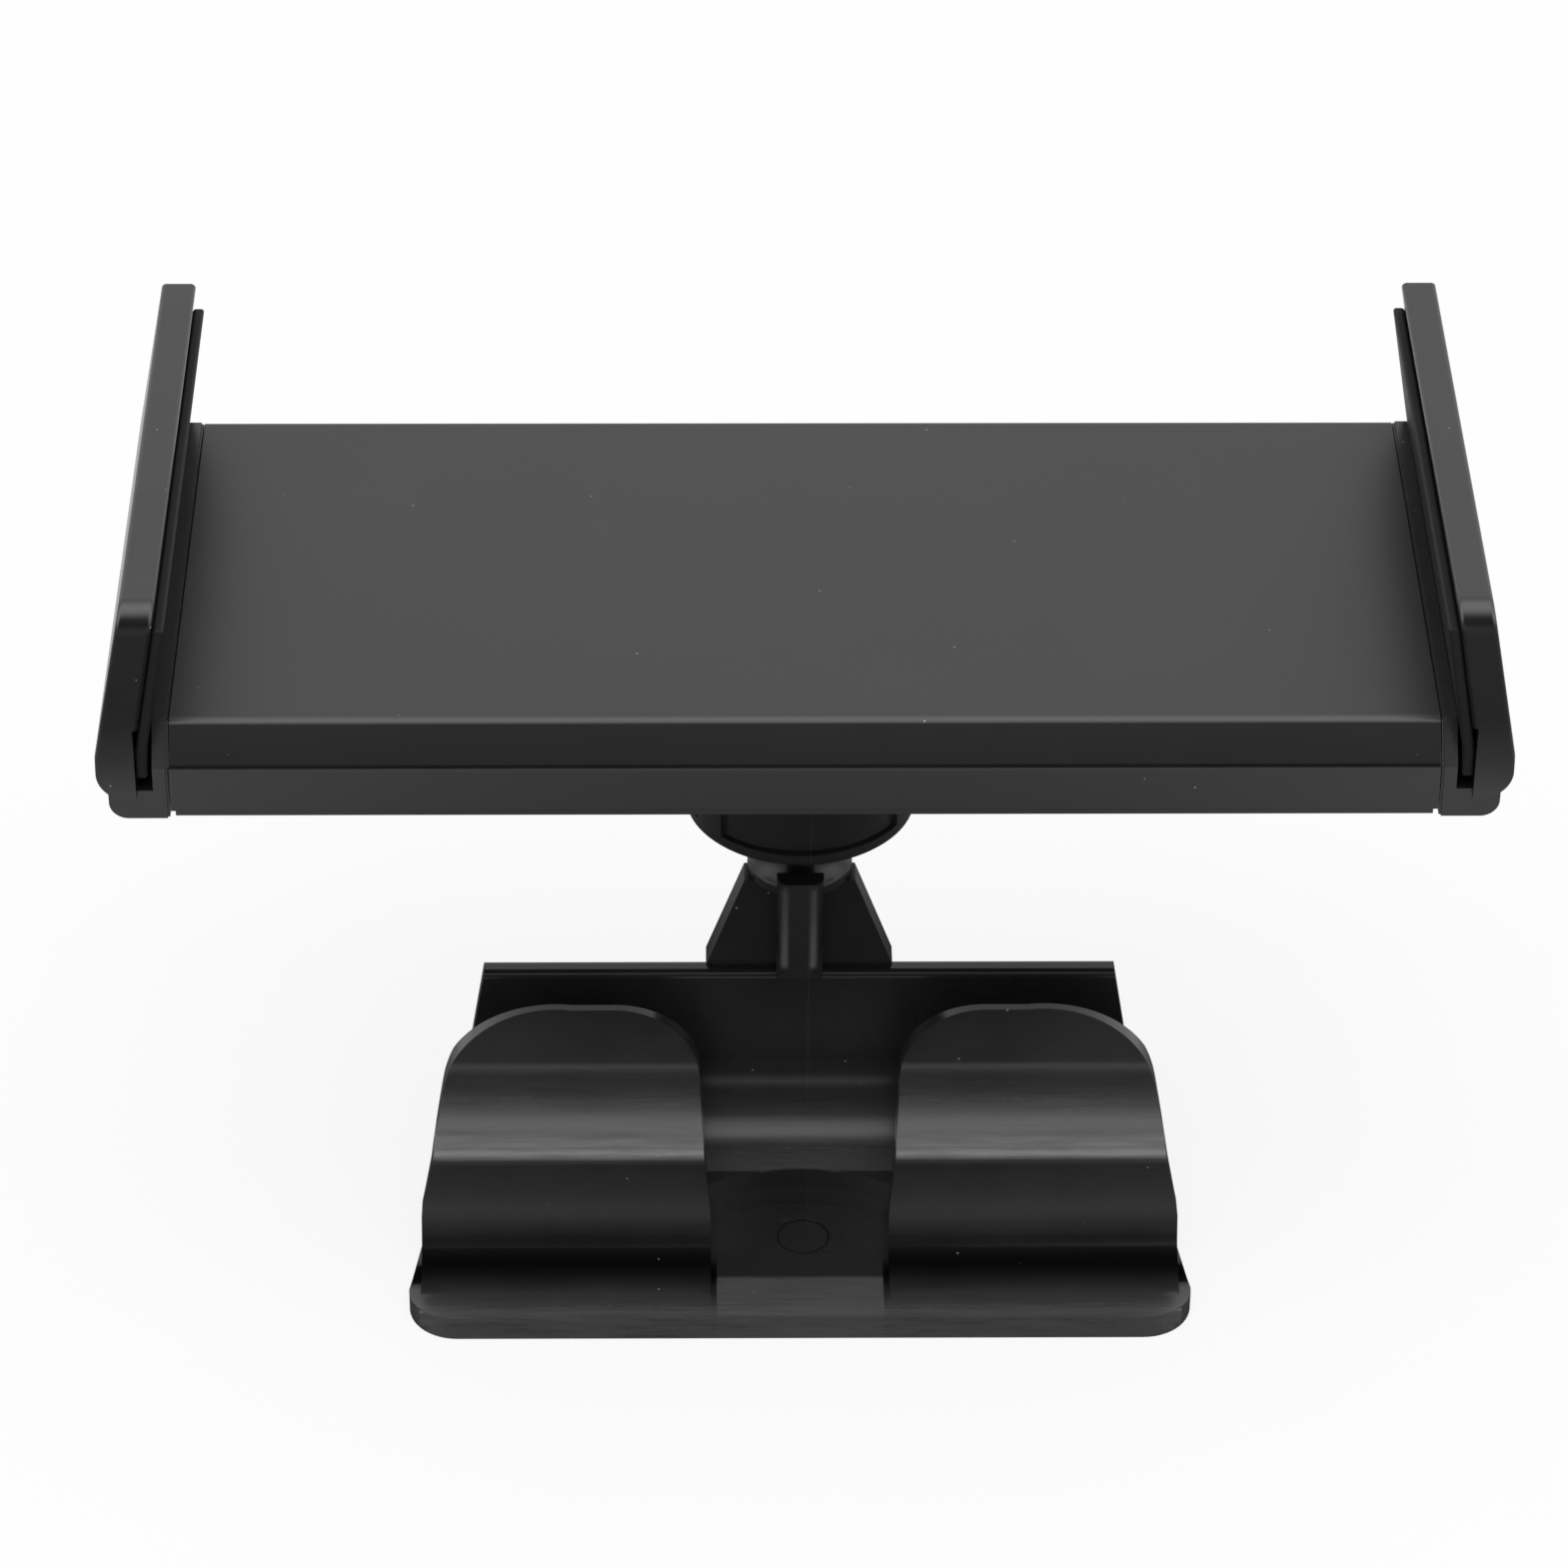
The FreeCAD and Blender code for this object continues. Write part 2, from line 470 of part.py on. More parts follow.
def lockCollar():
    body = newBody("lock_collar")
    half = sketchOn(body, "XZ_Plane", "collarHalf")
    outline(half, [("collarRadius - collarMouthWall", "collarLow"),
                   ("collarRadius - collarEdge", "collarLow"),
                   ("collarRadius", "collarLow + collarEdge"), ("collarRadius", "collarSill"),
                   ("collarWaist", "collarSill + collarStep"), ("collarWaist", "collarTop"),
                   ("collarBore", "collarTop"), ("collarBore", "underside - socketTall - collarGap"),
                   ("cupOuter + threadFit", "underside - socketTall - collarGap"),
                   ("cupOuter - cupTaper + collarSeat", "cupLow - collarSeat"),
                   ("cupMouth + turnFit", "cupLow - collarSeat"),
                   ("cupMouth + turnFit", "cupLow - collarSeat - collarLipTall")])
    turned(body, half)
    grip = sketchOn(body, "XY_Plane", "gripPad", "collarSill - sink")
    start = "(collarPadTurn - collarPadAngle / 2)"
    end = "(collarPadTurn + collarPadAngle / 2)"
    outline(grip, [polar("collarWaist - sink", start), polar("collarRadius", start),
                   polar("collarRadius", end) + polar("collarRadius", "collarPadTurn"),
                   polar("collarWaist - sink", end)])
    pad = extrude(body, "Pad", grip, "collarTop - collarSill + sink")
    pattern = body.newObject("PartDesign::PolarPattern", "gripPads")
    pattern.Originals = [pad]
    pattern.Axis = (grip, ["N_Axis"])
    pattern.Angle = 360
    bind(pattern, "Occurrences", "collarPads")
    body.Tip = pattern
    return body


def polar(radius, angle):
    return ("(%s) * cos(%s * 1 deg)" % (radius, angle), "(%s) * sin(%s * 1 deg)" % (radius, angle))


def rearCover():
    body = newBody("rear_cover")
    skin = sketchOn(body, "XY_Plane", "rearSkin", "underside")
    box(skin, "-cradleWide / 2 + lipInset", "cradleWide / 2 - lipInset",
        "-cradleDeep / 2 + lipInset", "cradleDeep / 2 - lipInset")
    extrude(body, "Pad", skin, "lipTall - lipFit")
    plug = sketchOn(body, "XY_Plane", "rearPlug", "underside")
    box(plug, "-innerX + lipFit", "innerX - lipFit", "-innerY + lipFit", "innerY - lipFit")
    extrude(body, "Pad", plug, "rearFloor")
    # Each end has a tongue that closes the cover's window under its slide plate.
    for side, top in ((-1, "lowPlate"), (1, "highPlate")):
        tongue = sketchOn(body, "XY_Plane", "tongue%s" % sideName(side), "underside")
        box(tongue, "%d * (innerX - lipFit - sink)" % side, "%d * (cradleWide / 2 - lipInset)" % side,
            "-plateHalf", "plateHalf")
        extrude(body, "Pad", tongue, "%s - plateGap - underside" % top)
    # A shallow relief across the floor keeps the gear clear of it.
    relief = sketchOn(body, "XY_Plane", "gearRelief", "floorTop")
    box(relief, "-tipRadius - slotFit", "tipRadius + slotFit", "-innerY", "innerY")
    extrude(body, "Pocket", relief, "gearRelief")
    # Two long rails carry the plates, and four short walls keep them straight.
    rails = sketchOn(body, "XY_Plane", "rails", "floorTop - sink")
    guideRails(rails)
    extrude(body, "Pad", rails, "guideTall + sink")
    walls = sketchOn(body, "XY_Plane", "sideGuides", "floorTop - sink")
    for side in (-1, 1):
        for end in (-1, 1):
            box(walls, "%d * sideGuideStart" % end, "%d * guideHalf" % end,
                "%d * (plateHalf + windowFit)" % side,
                "%d * (plateHalf + windowFit + sideGuideWide)" % side)
    extrude(body, "Pad", walls, "plateTop - floorTop + sink")
    post = sketchOn(body, "XY_Plane", "pinionPost", "floorTop - sink")
    ring(post, "0", "0", "pinionPost")
    extrude(body, "Pad", post, "washerLow - floorTop + sink")
    for side, plate in ((-1, "highPlate"), (1, "lowPlate")):
        hook = sketchOn(body, "XY_Plane", "springPost%s" % sideName(side), "floorTop - sink")
        ring(hook, "%d * springPostX" % side, "%d * springY" % side, "springPost")
        extrude(body, "Pad", hook,
                "%s + plateThick / 2 + springRadius + springPostOver - floorTop + sink" % plate)
    socket = sketchOn(body, "XY_Plane", "socket", "underside")
    ring(socket, "0", "0", "socketOuter")
    ring(socket, "0", "0", "socketInner")
    extrude(body, "Pad", socket, "socketTall", back=True)
    holes = sketchOn(body, "XY_Plane", "screwHoles", "floorTop")
    heads = sketchOn(body, "XY_Plane", "screwHeads", "underside")
    for x, y in corners():
        ring(holes, x, y, "screwShank + screwFit")
        ring(heads, x, y, "screwHead + headFit")
    extrude(body, "Pocket", holes, "rearFloor")
    extrude(body, "Pocket", heads, "screwHeadTall + endFit", back=True)
    pilot = sketchOn(body, "XY_Plane", "postPilot", "washerLow")
    ring(pilot, "0", "0", "screwShank + screwFit")
    extrude(body, "Pocket", pilot, "pinionBite + pilotSpare")
    return body


def guideRails(sketch):
    """The two long rails that the slide plates run between, drawn on either cover."""
    for side in (-1, 1):
        box(sketch, "-guideHalf", "guideHalf", "%d * guideY - guideWide / 2" % side,
            "%d * guideY + guideWide / 2" % side)


def corners():
    return [("%d * bossX" % a, "%d * bossY" % b) for a in (-1, 1) for b in (-1, 1)]


def frontCover():
    body = newBody("front_cover")
    skin = sketchOn(body, "YZ_Plane", "frontSkin", "-cradleWide / 2")
    outline(skin, [("-cradleDeep / 2", "underside + lipTall"), ("cradleDeep / 2", "underside + lipTall"),
                   ("cradleDeep / 2", "creaseHeight"), ("faceHalf", "faceHeight"),
                   ("-faceHalf", "faceHeight"), ("-cradleDeep / 2", "creaseHeight")])
    extrude(body, "Pad", skin, "cradleWide")
    rounded(body, "faceRim", "coverRound", level("faceHeight", "cradleWide / 2"))
    rounded(body, "creases", "creaseRound", level("creaseHeight", "cradleWide / 2"))
    cavity = sketchOn(body, "YZ_Plane", "cavity", "-innerX")
    outline(cavity, [("-innerY", "underside"), ("innerY", "underside"), ("innerY", "innerCrease"),
                     ("roofHalf", "roof"), ("-roofHalf", "roof"), ("-innerY", "innerCrease")])
    extrude(body, "Pocket", cavity, "2 * innerX", back=True)
    for side, plate in ((-1, "lowPlate"), (1, "highPlate")):
        window = sketchOn(body, "YZ_Plane", "window%s" % sideName(side),
                          "%d * (cradleWide / 2 + overrun)" % side)
        box(window, "-plateHalf - windowFit", "plateHalf + windowFit", "underside",
            "%s + plateThick + windowFit" % plate)
        extrude(body, "Pocket", window, "coverWall + 2 * overrun", back=side < 0)
    rails = sketchOn(body, "XY_Plane", "roofRails", "plateTop + plateGap")
    guideRails(rails)
    extrude(body, "Pad", rails, "roof - plateTop - plateGap + sink")
    bosses = sketchOn(body, "XY_Plane", "screwBosses", "floorTop + lipFit")
    pilots = sketchOn(body, "XY_Plane", "screwPilots", "floorTop + lipFit")
    for x, y in corners():
        ring(bosses, x, y, "bossRadius")
        ring(pilots, x, y, "screwShank + screwFit")
    extrude(body, "Pad", bosses, "roof - floorTop")
    extrude(body, "Pocket", pilots, "screwBite + pilotSpare", back=True)
    screws = [screw("housingScrew%d" % i, "underside + endFit / 2", "screwHead", "screwHeadTall",
                    "screwShank", "floorTop + screwBite", x, y)
              for i, (x, y) in enumerate(corners(), start=1)]
    group = doc.addObject("Part::Compound", "housing_screws")
    group.Links = screws
    return body


def slidePlate(side):
    """A slotted plate with a rack along one edge of its slot. The right one is turned half round."""
    body = newBody("left_slide_plate" if side < 0 else "right_slide_plate")
    tag = sideName(side)
    plan = sketchOn(body, "XY_Plane", "plate" + tag)
    box(plan, "-jawInner - plateGrip", "plateEnd", "-plateHalf", "plateHalf")
    extrude(body, "Pad", plan, "plateThick")
    slot = sketchOn(body, "XY_Plane", "slot" + tag, "plateThick")
    box(slot, "-slotEnd", "travel + slotEnd", "-tipRadius - 2 * slotFit", "rackRoot")
    extrude(body, "Pocket", slot, "plateThick")
    tooth = sketchOn(body, "XY_Plane", "rackTooth" + tag)
    outline(tooth, [("-rackSpare * toothPitch - rackHalfRoot", "rackRoot + sink"),
                    ("-rackSpare * toothPitch - rackHalfRoot", "rackRoot"),
                    ("-rackSpare * toothPitch - rackHalfTip", "pitchRadius - rackAddendum"),
                    ("-rackSpare * toothPitch + rackHalfTip", "pitchRadius - rackAddendum"),
                    ("-rackSpare * toothPitch + rackHalfRoot", "rackRoot"),
                    ("-rackSpare * toothPitch + rackHalfRoot", "rackRoot + sink")])
    first = extrude(body, "Pad", tooth, "plateThick")
    rack = body.newObject("PartDesign::LinearPattern", "rack" + tag)
    rack.Originals = [first]
    rack.Direction = (tooth, ["H_Axis"])
    bind(rack, "Length", "(rackTeeth - 1) * toothPitch")
    bind(rack, "Occurrences", "rackTeeth")
    body.Tip = rack
    doc.recompute()
    ear = sketchOn(body, "XY_Plane", "springEar" + tag)
    box(ear, "earX - earLong / 2", "earX + earLong / 2", "plateHalf - sink", "springY + springRadius")
    extrude(body, "Pad", ear, "plateThick")
    holes = sketchOn(body, "XY_Plane", "plateHoles" + tag, "plateThick")
    for y in ("jawScrewY", "-jawScrewY"):
        ring(holes, "-jawScrewX", y, "screwShank + screwFit")
    extrude(body, "Pocket", holes, "plateThick")
    if side > 0:
        body.Placement.Rotation = FreeCAD.Rotation(FreeCAD.Vector(0, 0, 1), 180)
    bind(body, "Placement.Base.z", "lowPlate" if side < 0 else "highPlate")
    return body


flankSteps = 5  # spans along each tooth flank


def pinion():
    """An involute gear that meshes with both racks, with a tooth space facing each of them."""
    count = int(round(value("toothCount")))
    pitch, tip = value("pitchRadius"), value("tipRadius")
    root = pitch - value("toothDedendum")
    pressure = math.radians(value("pressureAngle"))
    base = pitch * math.cos(pressure)
    inv = math.tan(pressure) - pressure
    halfTooth = value("rackHalf") / pitch

    def flank(radius):
        if radius <= base:
            return halfTooth + inv
        turn = math.acos(base / radius)
        return halfTooth + inv - (math.tan(turn) - turn)

    def spot(radius, angle):
        return FreeCAD.Vector(radius * math.sin(angle), radius * math.cos(angle), 0)

    start = max(base, root)
    edges = []
    step = 2 * math.pi / count
    for index in range(count):
        middle = (index + 0.5) * step
        left, right = [], []
        for share in range(flankSteps + 1):
            radius = start + (tip - start) * share / flankSteps
            left.append(spot(radius, middle - flank(radius)))
            right.append(spot(radius, middle + flank(radius)))
        foot = [spot(root, middle - flank(start)), spot(root, middle + flank(start))]
        following = spot(root, middle + step - flank(start))
        up, down = Part.BSplineCurve(), Part.BSplineCurve()
        up.interpolate(left)
        down.interpolate(right[::-1])
        edges.append(Part.LineSegment(foot[0], left[0]).toShape())
        edges.append(up.toShape())
        edges.append(Part.Arc(left[-1], spot(tip, middle), right[-1]).toShape())
        edges.append(down.toShape())
        edges.append(Part.LineSegment(right[0], foot[1]).toShape())
        edges.append(Part.Arc(foot[1], spot(root, middle + step / 2), following).toShape())
    low, high = value("pinionLow"), value("pinionTop")
    gear = Part.Face(Part.Wire(edges)).extrude(FreeCAD.Vector(0, 0, high - low))
    bore = Part.makeCylinder(value("pinionPost + pinionFit"), high - low)
    piece = doc.addObject("Part::Feature", "pinion")
    piece.Shape = gear.cut(bore)
    piece.Placement.Base = FreeCAD.Vector(0, 0, low)
    return piece


def pinionFixing():
    outer = rod("washerDisc", "washerRadius", "washerLow", "washerLow + washerThick")
    inner = rod("washerHole", "screwShank + screwFit", "washerLow - overrun",
                "washerLow + washerThick + overrun")
    washer = doc.addObject("Part::Cut", "pinion_washer")
    washer.Base = outer
    washer.Tool = inner
    screw("pinion_screw", "washerLow + washerThick", "pinionHead", "pinionHeadTall", "screwShank",
          "washerLow - pinionBite", down=True)
    return washer


def spring(side):
    """A close wound tension spring between the plate's ear and the housing's post."""
    name = "left_spring" if side < 0 else "right_spring"
    plate = "lowPlate" if side < 0 else "highPlate"
    tubes = []
    for part, radius in (("Coil", "springRadius"), ("Hollow", "springRadius - springWire")):
        tube = doc.addObject("Part::Cylinder", name + part)
        bind(tube, "Radius", radius)
        bind(tube, "Height", "springPostX - springPost - earX - earLong / 2 - 2 * springSeat")
        tube.Placement.Rotation = FreeCAD.Rotation(FreeCAD.Vector(0, 1, 0), 90)
        start = "earX + earLong / 2 + springSeat" if side < 0 else "-springPostX + springPost + springSeat"
        bind(tube, "Placement.Base.x", start)
        bind(tube, "Placement.Base.y", "%d * springY" % -side)
        bind(tube, "Placement.Base.z", "%s + plateThick / 2" % plate)
        tubes.append(tube)
    piece = doc.addObject("Part::Cut", name)
    piece.Base, piece.Tool = tubes
    return piece


def jaw(side):
    """A jaw: an end block in line with the cradle, and a wall that leans in over its face."""
    body = newBody("left_jaw" if side < 0 else "right_jaw")
    tag = sideName(side)
    plate = "lowPlate" if side < 0 else "highPlate"

    def out(expression):
        return "%d * (%s)" % (side, expression)

    block = sketchOn(body, "XZ_Plane", "block" + tag, "cradleDeep / 2")
    outline(block, [(out("jawInner"), "underside"), (out("jawOuter - jawCorner"), "underside"),
                    (out("jawOuter"), "underside + jawCorner", out("jawCorner * arcShare")),
                    (out("jawOuter"), "jawBend"), (out("wallIn + sink"), "jawBend"),
                    (out("wallIn + sink"), "faceHeight"), (out("jawInner"), "faceHeight")])
    extrude(body, "Pad", block, "cradleDeep", back=True)
    slopes = sketchOn(body, "YZ_Plane", "slopes" + tag, out("jawInner"))
    for end in (-1, 1):
        outline(slopes, [("%d * cradleDeep / 2" % end, "creaseHeight"),
                         ("%d * (cradleDeep / 2 + overrun)" % end, "creaseHeight"),
                         ("%d * (cradleDeep / 2 + overrun)" % end, "faceHeight + overrun"),
                         ("%d * faceHalf" % end, "faceHeight + overrun"),
                         ("%d * faceHalf" % end, "faceHeight")])
    extrude(body, "Pocket", slopes, "wallIn + sink - jawInner", back=side > 0)
    wall = sketchOn(body, "XZ_Plane", "jawWall" + tag, "cradleDeep / 2 + jawProud")
    outline(wall, [(out("wallIn"), "jawFoot"), (out("jawWide - jawFootRound"), "jawFoot"),
                   (out("jawWide"), "jawFoot + jawFootRound", out("jawFootRound * arcShare")),
                   (out("jawWide"), "jawBend"), (out("jawWide - jawLean"), "jawTop"),
                   (out("wallInTop"), "jawTop"), (out("wallIn"), "jawBend")])
    extrude(body, "Pad", wall, "cradleDeep + jawProud", back=True)
    rounded(body, "jawNose" + tag, "jawNose", frontTop)
    rounded(body, "jawRim" + tag, "jawRound", level("jawTop", "cradleDeep / 2"))
    groove = sketchOn(body, "XZ_Plane", "padGroove" + tag, "cradleDeep / 2 + overrun")
    box(groove, out("grooveIn"), out("wallIn"), "grooveLow", "faceHeight + overrun")
    extrude(body, "Pocket", groove, "cradleDeep + 2 * overrun")
    for end in (-1, 1):
        notch = sketchOn(body, "XZ_Plane", "padNotch%s%d" % (tag, end > 0), "%d * cradleDeep / 2" % -end)
        box(notch, out("grooveIn"), out("wallIn"), "underside + notchRise", "grooveLow + sink")
        extrude(body, "Pocket", notch, "notchLong", back=end > 0)
    seat = sketchOn(body, "YZ_Plane", "plateSeat" + tag, out("jawInner"))
    box(seat, "-plateHalf - seatFit", "plateHalf + seatFit", "%s - seatFit" % plate,
        "%s + plateThick + seatFit" % plate)
    extrude(body, "Pocket", seat, "plateGrip + endFit", back=side > 0)
    holes = sketchOn(body, "XY_Plane", "jawHoles" + tag, "underside")
    heads = sketchOn(body, "XY_Plane", "jawHeads" + tag, "underside")
    for y in ("jawScrewY", "-jawScrewY"):
        ring(holes, out("jawScrewX"), y, "screwShank + screwFit")
        ring(heads, out("jawScrewX"), y, "screwHead + headFit")
    extrude(body, "Pocket", holes, "%s + plateThick + jawBite + pilotSpare - underside" % plate, back=True)
    extrude(body, "Pocket", heads, "screwHeadTall + endFit", back=True)
    screws = [screw("%sJawScrew%d" % (tag, i), "underside + endFit / 2", "screwHead", "screwHeadTall",
                    "screwShank", "%s + plateThick + jawBite" % plate, out("jawScrewX"), y)
              for i, y in enumerate(("jawScrewY", "-jawScrewY"), start=1)]
    group = doc.addObject("Part::Compound", "left_jaw_screws" if side < 0 else "right_jaw_screws")
    group.Links = screws

    # The rubber pad lines the wall. It sits in the groove, with a leg down into each notch.
    lining = newBody("left_pad" if side < 0 else "right_pad")
    strip = sketchOn(lining, "XZ_Plane", "padStrip" + tag, "jawFront - padInset")
    outline(strip, [(out("padLowIn"), "padLow"), (out("padHighIn"), "padHigh"),
                    (out("padHighIn - padThick"), "padHigh"), (out("padLowIn - padThick"), "padLow")])
    extrude(lining, "Pad", strip, "padLong", back=True)
    for end in (-1, 1):
        leg = sketchOn(lining, "XZ_Plane", "padLeg%s%d" % (tag, end > 0),
                       "jawFront - padInset" if end < 0 else "jawFront - padInset - padLong")
        outline(leg, [(out("wallIn"), "underside + padLegRise"), (out("wallIn"), "jawBend"),
                      (out("padLowIn"), "padLow"), (out("padLowIn - padThick"), "padLow"),
                      (out("wallIn - padThick"), "jawBend"),
                      (out("wallIn - padThick"), "underside + padLegRise")])
        extrude(lining, "Pad", leg, "padLegLong", back=end < 0)
    return body


def frontTop(edge):
    """The short edge where the top of a jaw meets its front."""
    return all(near(v.Y, value("-jawFront")) and near(v.Z, value("jawTop")) for v in edge.Vertexes)


clipBracket()
ballStud()
ballCup()
lockCollar()
rearCover()
frontCover()
pinion()
pinionFixing()
for side in (-1, 1):
    slidePlate(side)
    spring(side)
    jaw(side)
doc.recompute()

nodes = ["clip_bracket", "ball_stud", "stud_screw", "ball_cup", "lock_collar", "front_cover",
         "rear_cover", "housing_screws", "pinion", "pinion_washer", "pinion_screw"]
for side in ("left_", "right_"):
    nodes += [side + piece for piece in ("slide_plate", "jaw", "pad", "jaw_screws", "spring")]

for item in doc.Objects:
    if "Invalid" in item.State or "Error" in item.State:
        raise RuntimeError("%s did not build" % item.Label)
os.makedirs("parts", exist_ok=True)
for name in nodes:
    found = [item for item in doc.Objects if item.Label == name]
    if len(found) != 1:
        raise RuntimeError("%d objects are labelled %s" % (len(found), name))
    shape = found[0].Shape
    if shape.isNull() or not shape.isValid() or not shape.Solids:
        raise RuntimeError("%s has no valid solid" % name)
    shape.exportStep("parts/%s.step" % name)
    print("%-18s %d solid(s) %9.1f mm3" % (name, len(shape.Solids), shape.Volume))
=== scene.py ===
import json
import math

import bmesh
import bpy
from mathutils import Matrix, Vector
from mathutils.geometry import tessellate_polygon


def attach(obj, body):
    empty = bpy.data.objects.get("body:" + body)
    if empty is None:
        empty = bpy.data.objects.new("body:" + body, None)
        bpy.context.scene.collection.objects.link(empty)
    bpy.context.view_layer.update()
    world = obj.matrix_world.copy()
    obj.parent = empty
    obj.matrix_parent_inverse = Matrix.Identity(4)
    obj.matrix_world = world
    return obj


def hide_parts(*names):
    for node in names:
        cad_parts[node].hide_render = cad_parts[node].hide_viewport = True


# Phone and tablet holder: a clamping cradle on a ball joint, over a clip with two sprung tabs.
# Lengths are in metres, +Z is up, and the clip's open side is towards -Y.
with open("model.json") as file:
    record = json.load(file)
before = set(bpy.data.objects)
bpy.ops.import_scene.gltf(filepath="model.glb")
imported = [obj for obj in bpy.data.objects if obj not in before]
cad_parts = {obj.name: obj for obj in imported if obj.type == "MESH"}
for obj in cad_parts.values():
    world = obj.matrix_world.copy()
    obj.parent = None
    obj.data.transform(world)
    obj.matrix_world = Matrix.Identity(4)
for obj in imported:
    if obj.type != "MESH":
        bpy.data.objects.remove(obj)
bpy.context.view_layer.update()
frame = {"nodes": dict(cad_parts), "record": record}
mm = 0.001


# sRGB hex to the linear colour that a shader socket takes.
def hexColour(text):
    parts = [int(text[i:i + 2], 16) / 255 for i in (1, 3, 5)]
    return [c / 12.92 if c <= 0.04045 else ((c + 0.055) / 1.055) ** 2.4 for c in parts] + [1.0]


# Add a node. Settings name its properties or sockets, and links name its sockets.
def addNode(tree, kind, settings=(), **links):
    made = tree.nodes.new(kind)
    for name, setting in dict(settings).items():
        if hasattr(made, name):
            setattr(made, name, setting)
        else:
            made.inputs[name].default_value = setting
    for name, source in links.items():
        tree.links.new(source, made.inputs[name.replace("_", " ")])
    return made


# Give a socket a link where the value is another node's output, and else the value itself.
def feed(tree, socket, value):
    if isinstance(value, bpy.types.NodeSocket):
        tree.links.new(value, socket)
    else:
        socket.default_value = value


def combine(tree, operation, *values):
    made = addNode(tree, "ShaderNodeMath", {"operation": operation})
    for socket, value in zip(made.inputs, values):
        feed(tree, socket, value)
    return made.outputs[0]


# Map a value from one range to another, and hold it at the new range's ends.
def ranged(tree, value, start, end, low=0.0, high=1.0, curve="LINEAR"):
    settings = {"From Min": start, "From Max": end, "To Min": low, "To Max": high,
                "interpolation_type": curve}
    return addNode(tree, "ShaderNodeMapRange", settings, Value=value).outputs["Result"]


# The first value where the share is 0, and the second where it is 1.
def blend(tree, share, first, second):
    mix = addNode(tree, "ShaderNodeMix")
    for socket, value in zip((mix.inputs[0], mix.inputs[2], mix.inputs[3]), (share, first, second)):
        feed(tree, socket, value)
    return mix.outputs[0]


# Lay a colour over another by a share.
def layer(tree, share, under, colour):
    mix = addNode(tree, "ShaderNodeMix", {"data_type": "RGBA"})
    tree.links.new(share, mix.inputs[0])
    tree.links.new(under, mix.inputs[6])
    mix.inputs[7].default_value = hexColour(colour)
    return mix.outputs[2]


# 1 in the middle of a band across a coordinate and 0 outside it, in mm.
def band(tree, coordinate, middle, spread):
    away = combine(tree, "ABSOLUTE", combine(tree, "SUBTRACT", coordinate, middle * mm))
    return ranged(tree, away, 0.0, spread * mm, 1.0, 0.0, "SMOOTHSTEP")


# 0 on one side of a border across a coordinate and 1 on the other. Places are where it begins and where it is
# full, in mm.
def past(tree, coordinate, places):
    return ranged(tree, coordinate, places[0] * mm, places[1] * mm)


def fillCurve(curve, spots):
    points = curve.mapping.curves[0].points
    for spot in spots[1:-1]:
        points.new(*spot)
    for point, spot in zip(points, spots):
        point.location = spot
        point.handle_type = "VECTOR"
    curve.mapping.update()


# A curve across a coordinate: spots pairs a place in mm with its value.
def along(tree, coordinate, spots):
    first, last = spots[0][0], spots[-1][0]
    curve = addNode(tree, "ShaderNodeFloatCurve", Value=ranged(tree, coordinate, first * mm, last * mm))
    fillCurve(curve, [((place - first) / (last - first), value) for place, value in spots])
    return curve.outputs["Value"]


def newMaterial(name):
    material = bpy.data.materials.new(name)
    material.use_nodes = True
    material.node_tree.nodes.clear()
    return material, material.node_tree


# The plastics. The grain is the texture's spacing and the relief its depth, both in mm. The level is the
# shader's specular level, and dust is the share of cells that hold a speck.
plastics = {
    # Spark-eroded ABS: an even fine grain that spreads light, so the broad face looks charcoal. Its slanted
    # and upright sides are polished, so they stay darker than the face.
    "sparkTexturedAbs": dict(colour="#131314", worn="#171718", roughness=0.4, spread=0.03, grain=0.22,
                             relief=0.012, ior=1.53, level=0.5, dust=0.07),
    # Satin moulded ABS: smoother than the covers, with soft streaks of sheen along the jaws.
    "satinMouldedAbs": dict(colour="#151516", worn="#1d1d1e", roughness=0.27, spread=0.05, grain=0.5,
                            relief=0.004, ior=1.53, level=0.5, dust=0.1),
    # Glossy moulded ABS: near black, with sharp edge lights, pale rub marks mixed with painted sheen, and
    # painted shade in the gutters.
    "glossMouldedAbs": dict(colour="#1e1e1f", worn="#282829", roughness=0.22, spread=0.05, grain=1.2,
                            relief=0.004, ior=1.53, level=0.5, dust=0.08),
    # Pressed rubber: the darkest piece, with a weak and dull sheen.
    "pressedRubber": dict(colour="#0c0c0d", worn="#131314", roughness=0.55, spread=0.08, grain=0.6,
                          relief=0.006, ior=1.52, level=0.18, dust=0.2),
    # Acetal of the ball stud: waxy and a little shiny.
    "turnedAcetal": dict(colour="#161617", worn="#222223", roughness=0.24, spread=0.05, grain=0.9,
                         relief=0.003, ior=1.48, level=0.25, dust=0.03),
    # Nylon of the cup and the slide plates: dull, with a slight cloud in it.
    "mouldedNylon": dict(colour="#1a1a1b", worn="#262627", roughness=0.36, spread=0.08, grain=0.7,
                         relief=0.005, ior=1.53, level=0.5, dust=0.0),
    # Natural acetal of the gear: milky white and waxy.
    "naturalAcetal": dict(colour="#e4e1d6", worn="#d6d2c4", roughness=0.32, spread=0.06, grain=0.9,
                          relief=0.003, ior=1.48, level=0.5, dust=0.0),
}

# A faint cloud of tone over every plastic. The plain colour lasts up to plainTo and the worn one starts at
# wornFrom.
cloudLook = dict(scale=60.0, detail=5.0, roughness=0.6, plainTo=0.35, wornFrom=0.75, grainDetail=3.0)

# Dust: pale specks up to 0.26 mm wide, at most one to a cell. The cell is in mm. A speck is full within the
# share inner of a cell from its middle, and gone at the share outer.
dustLook = dict(cell=1.6, inner=0.05, outer=0.08, strength=0.8, colour="#8c8c8c")

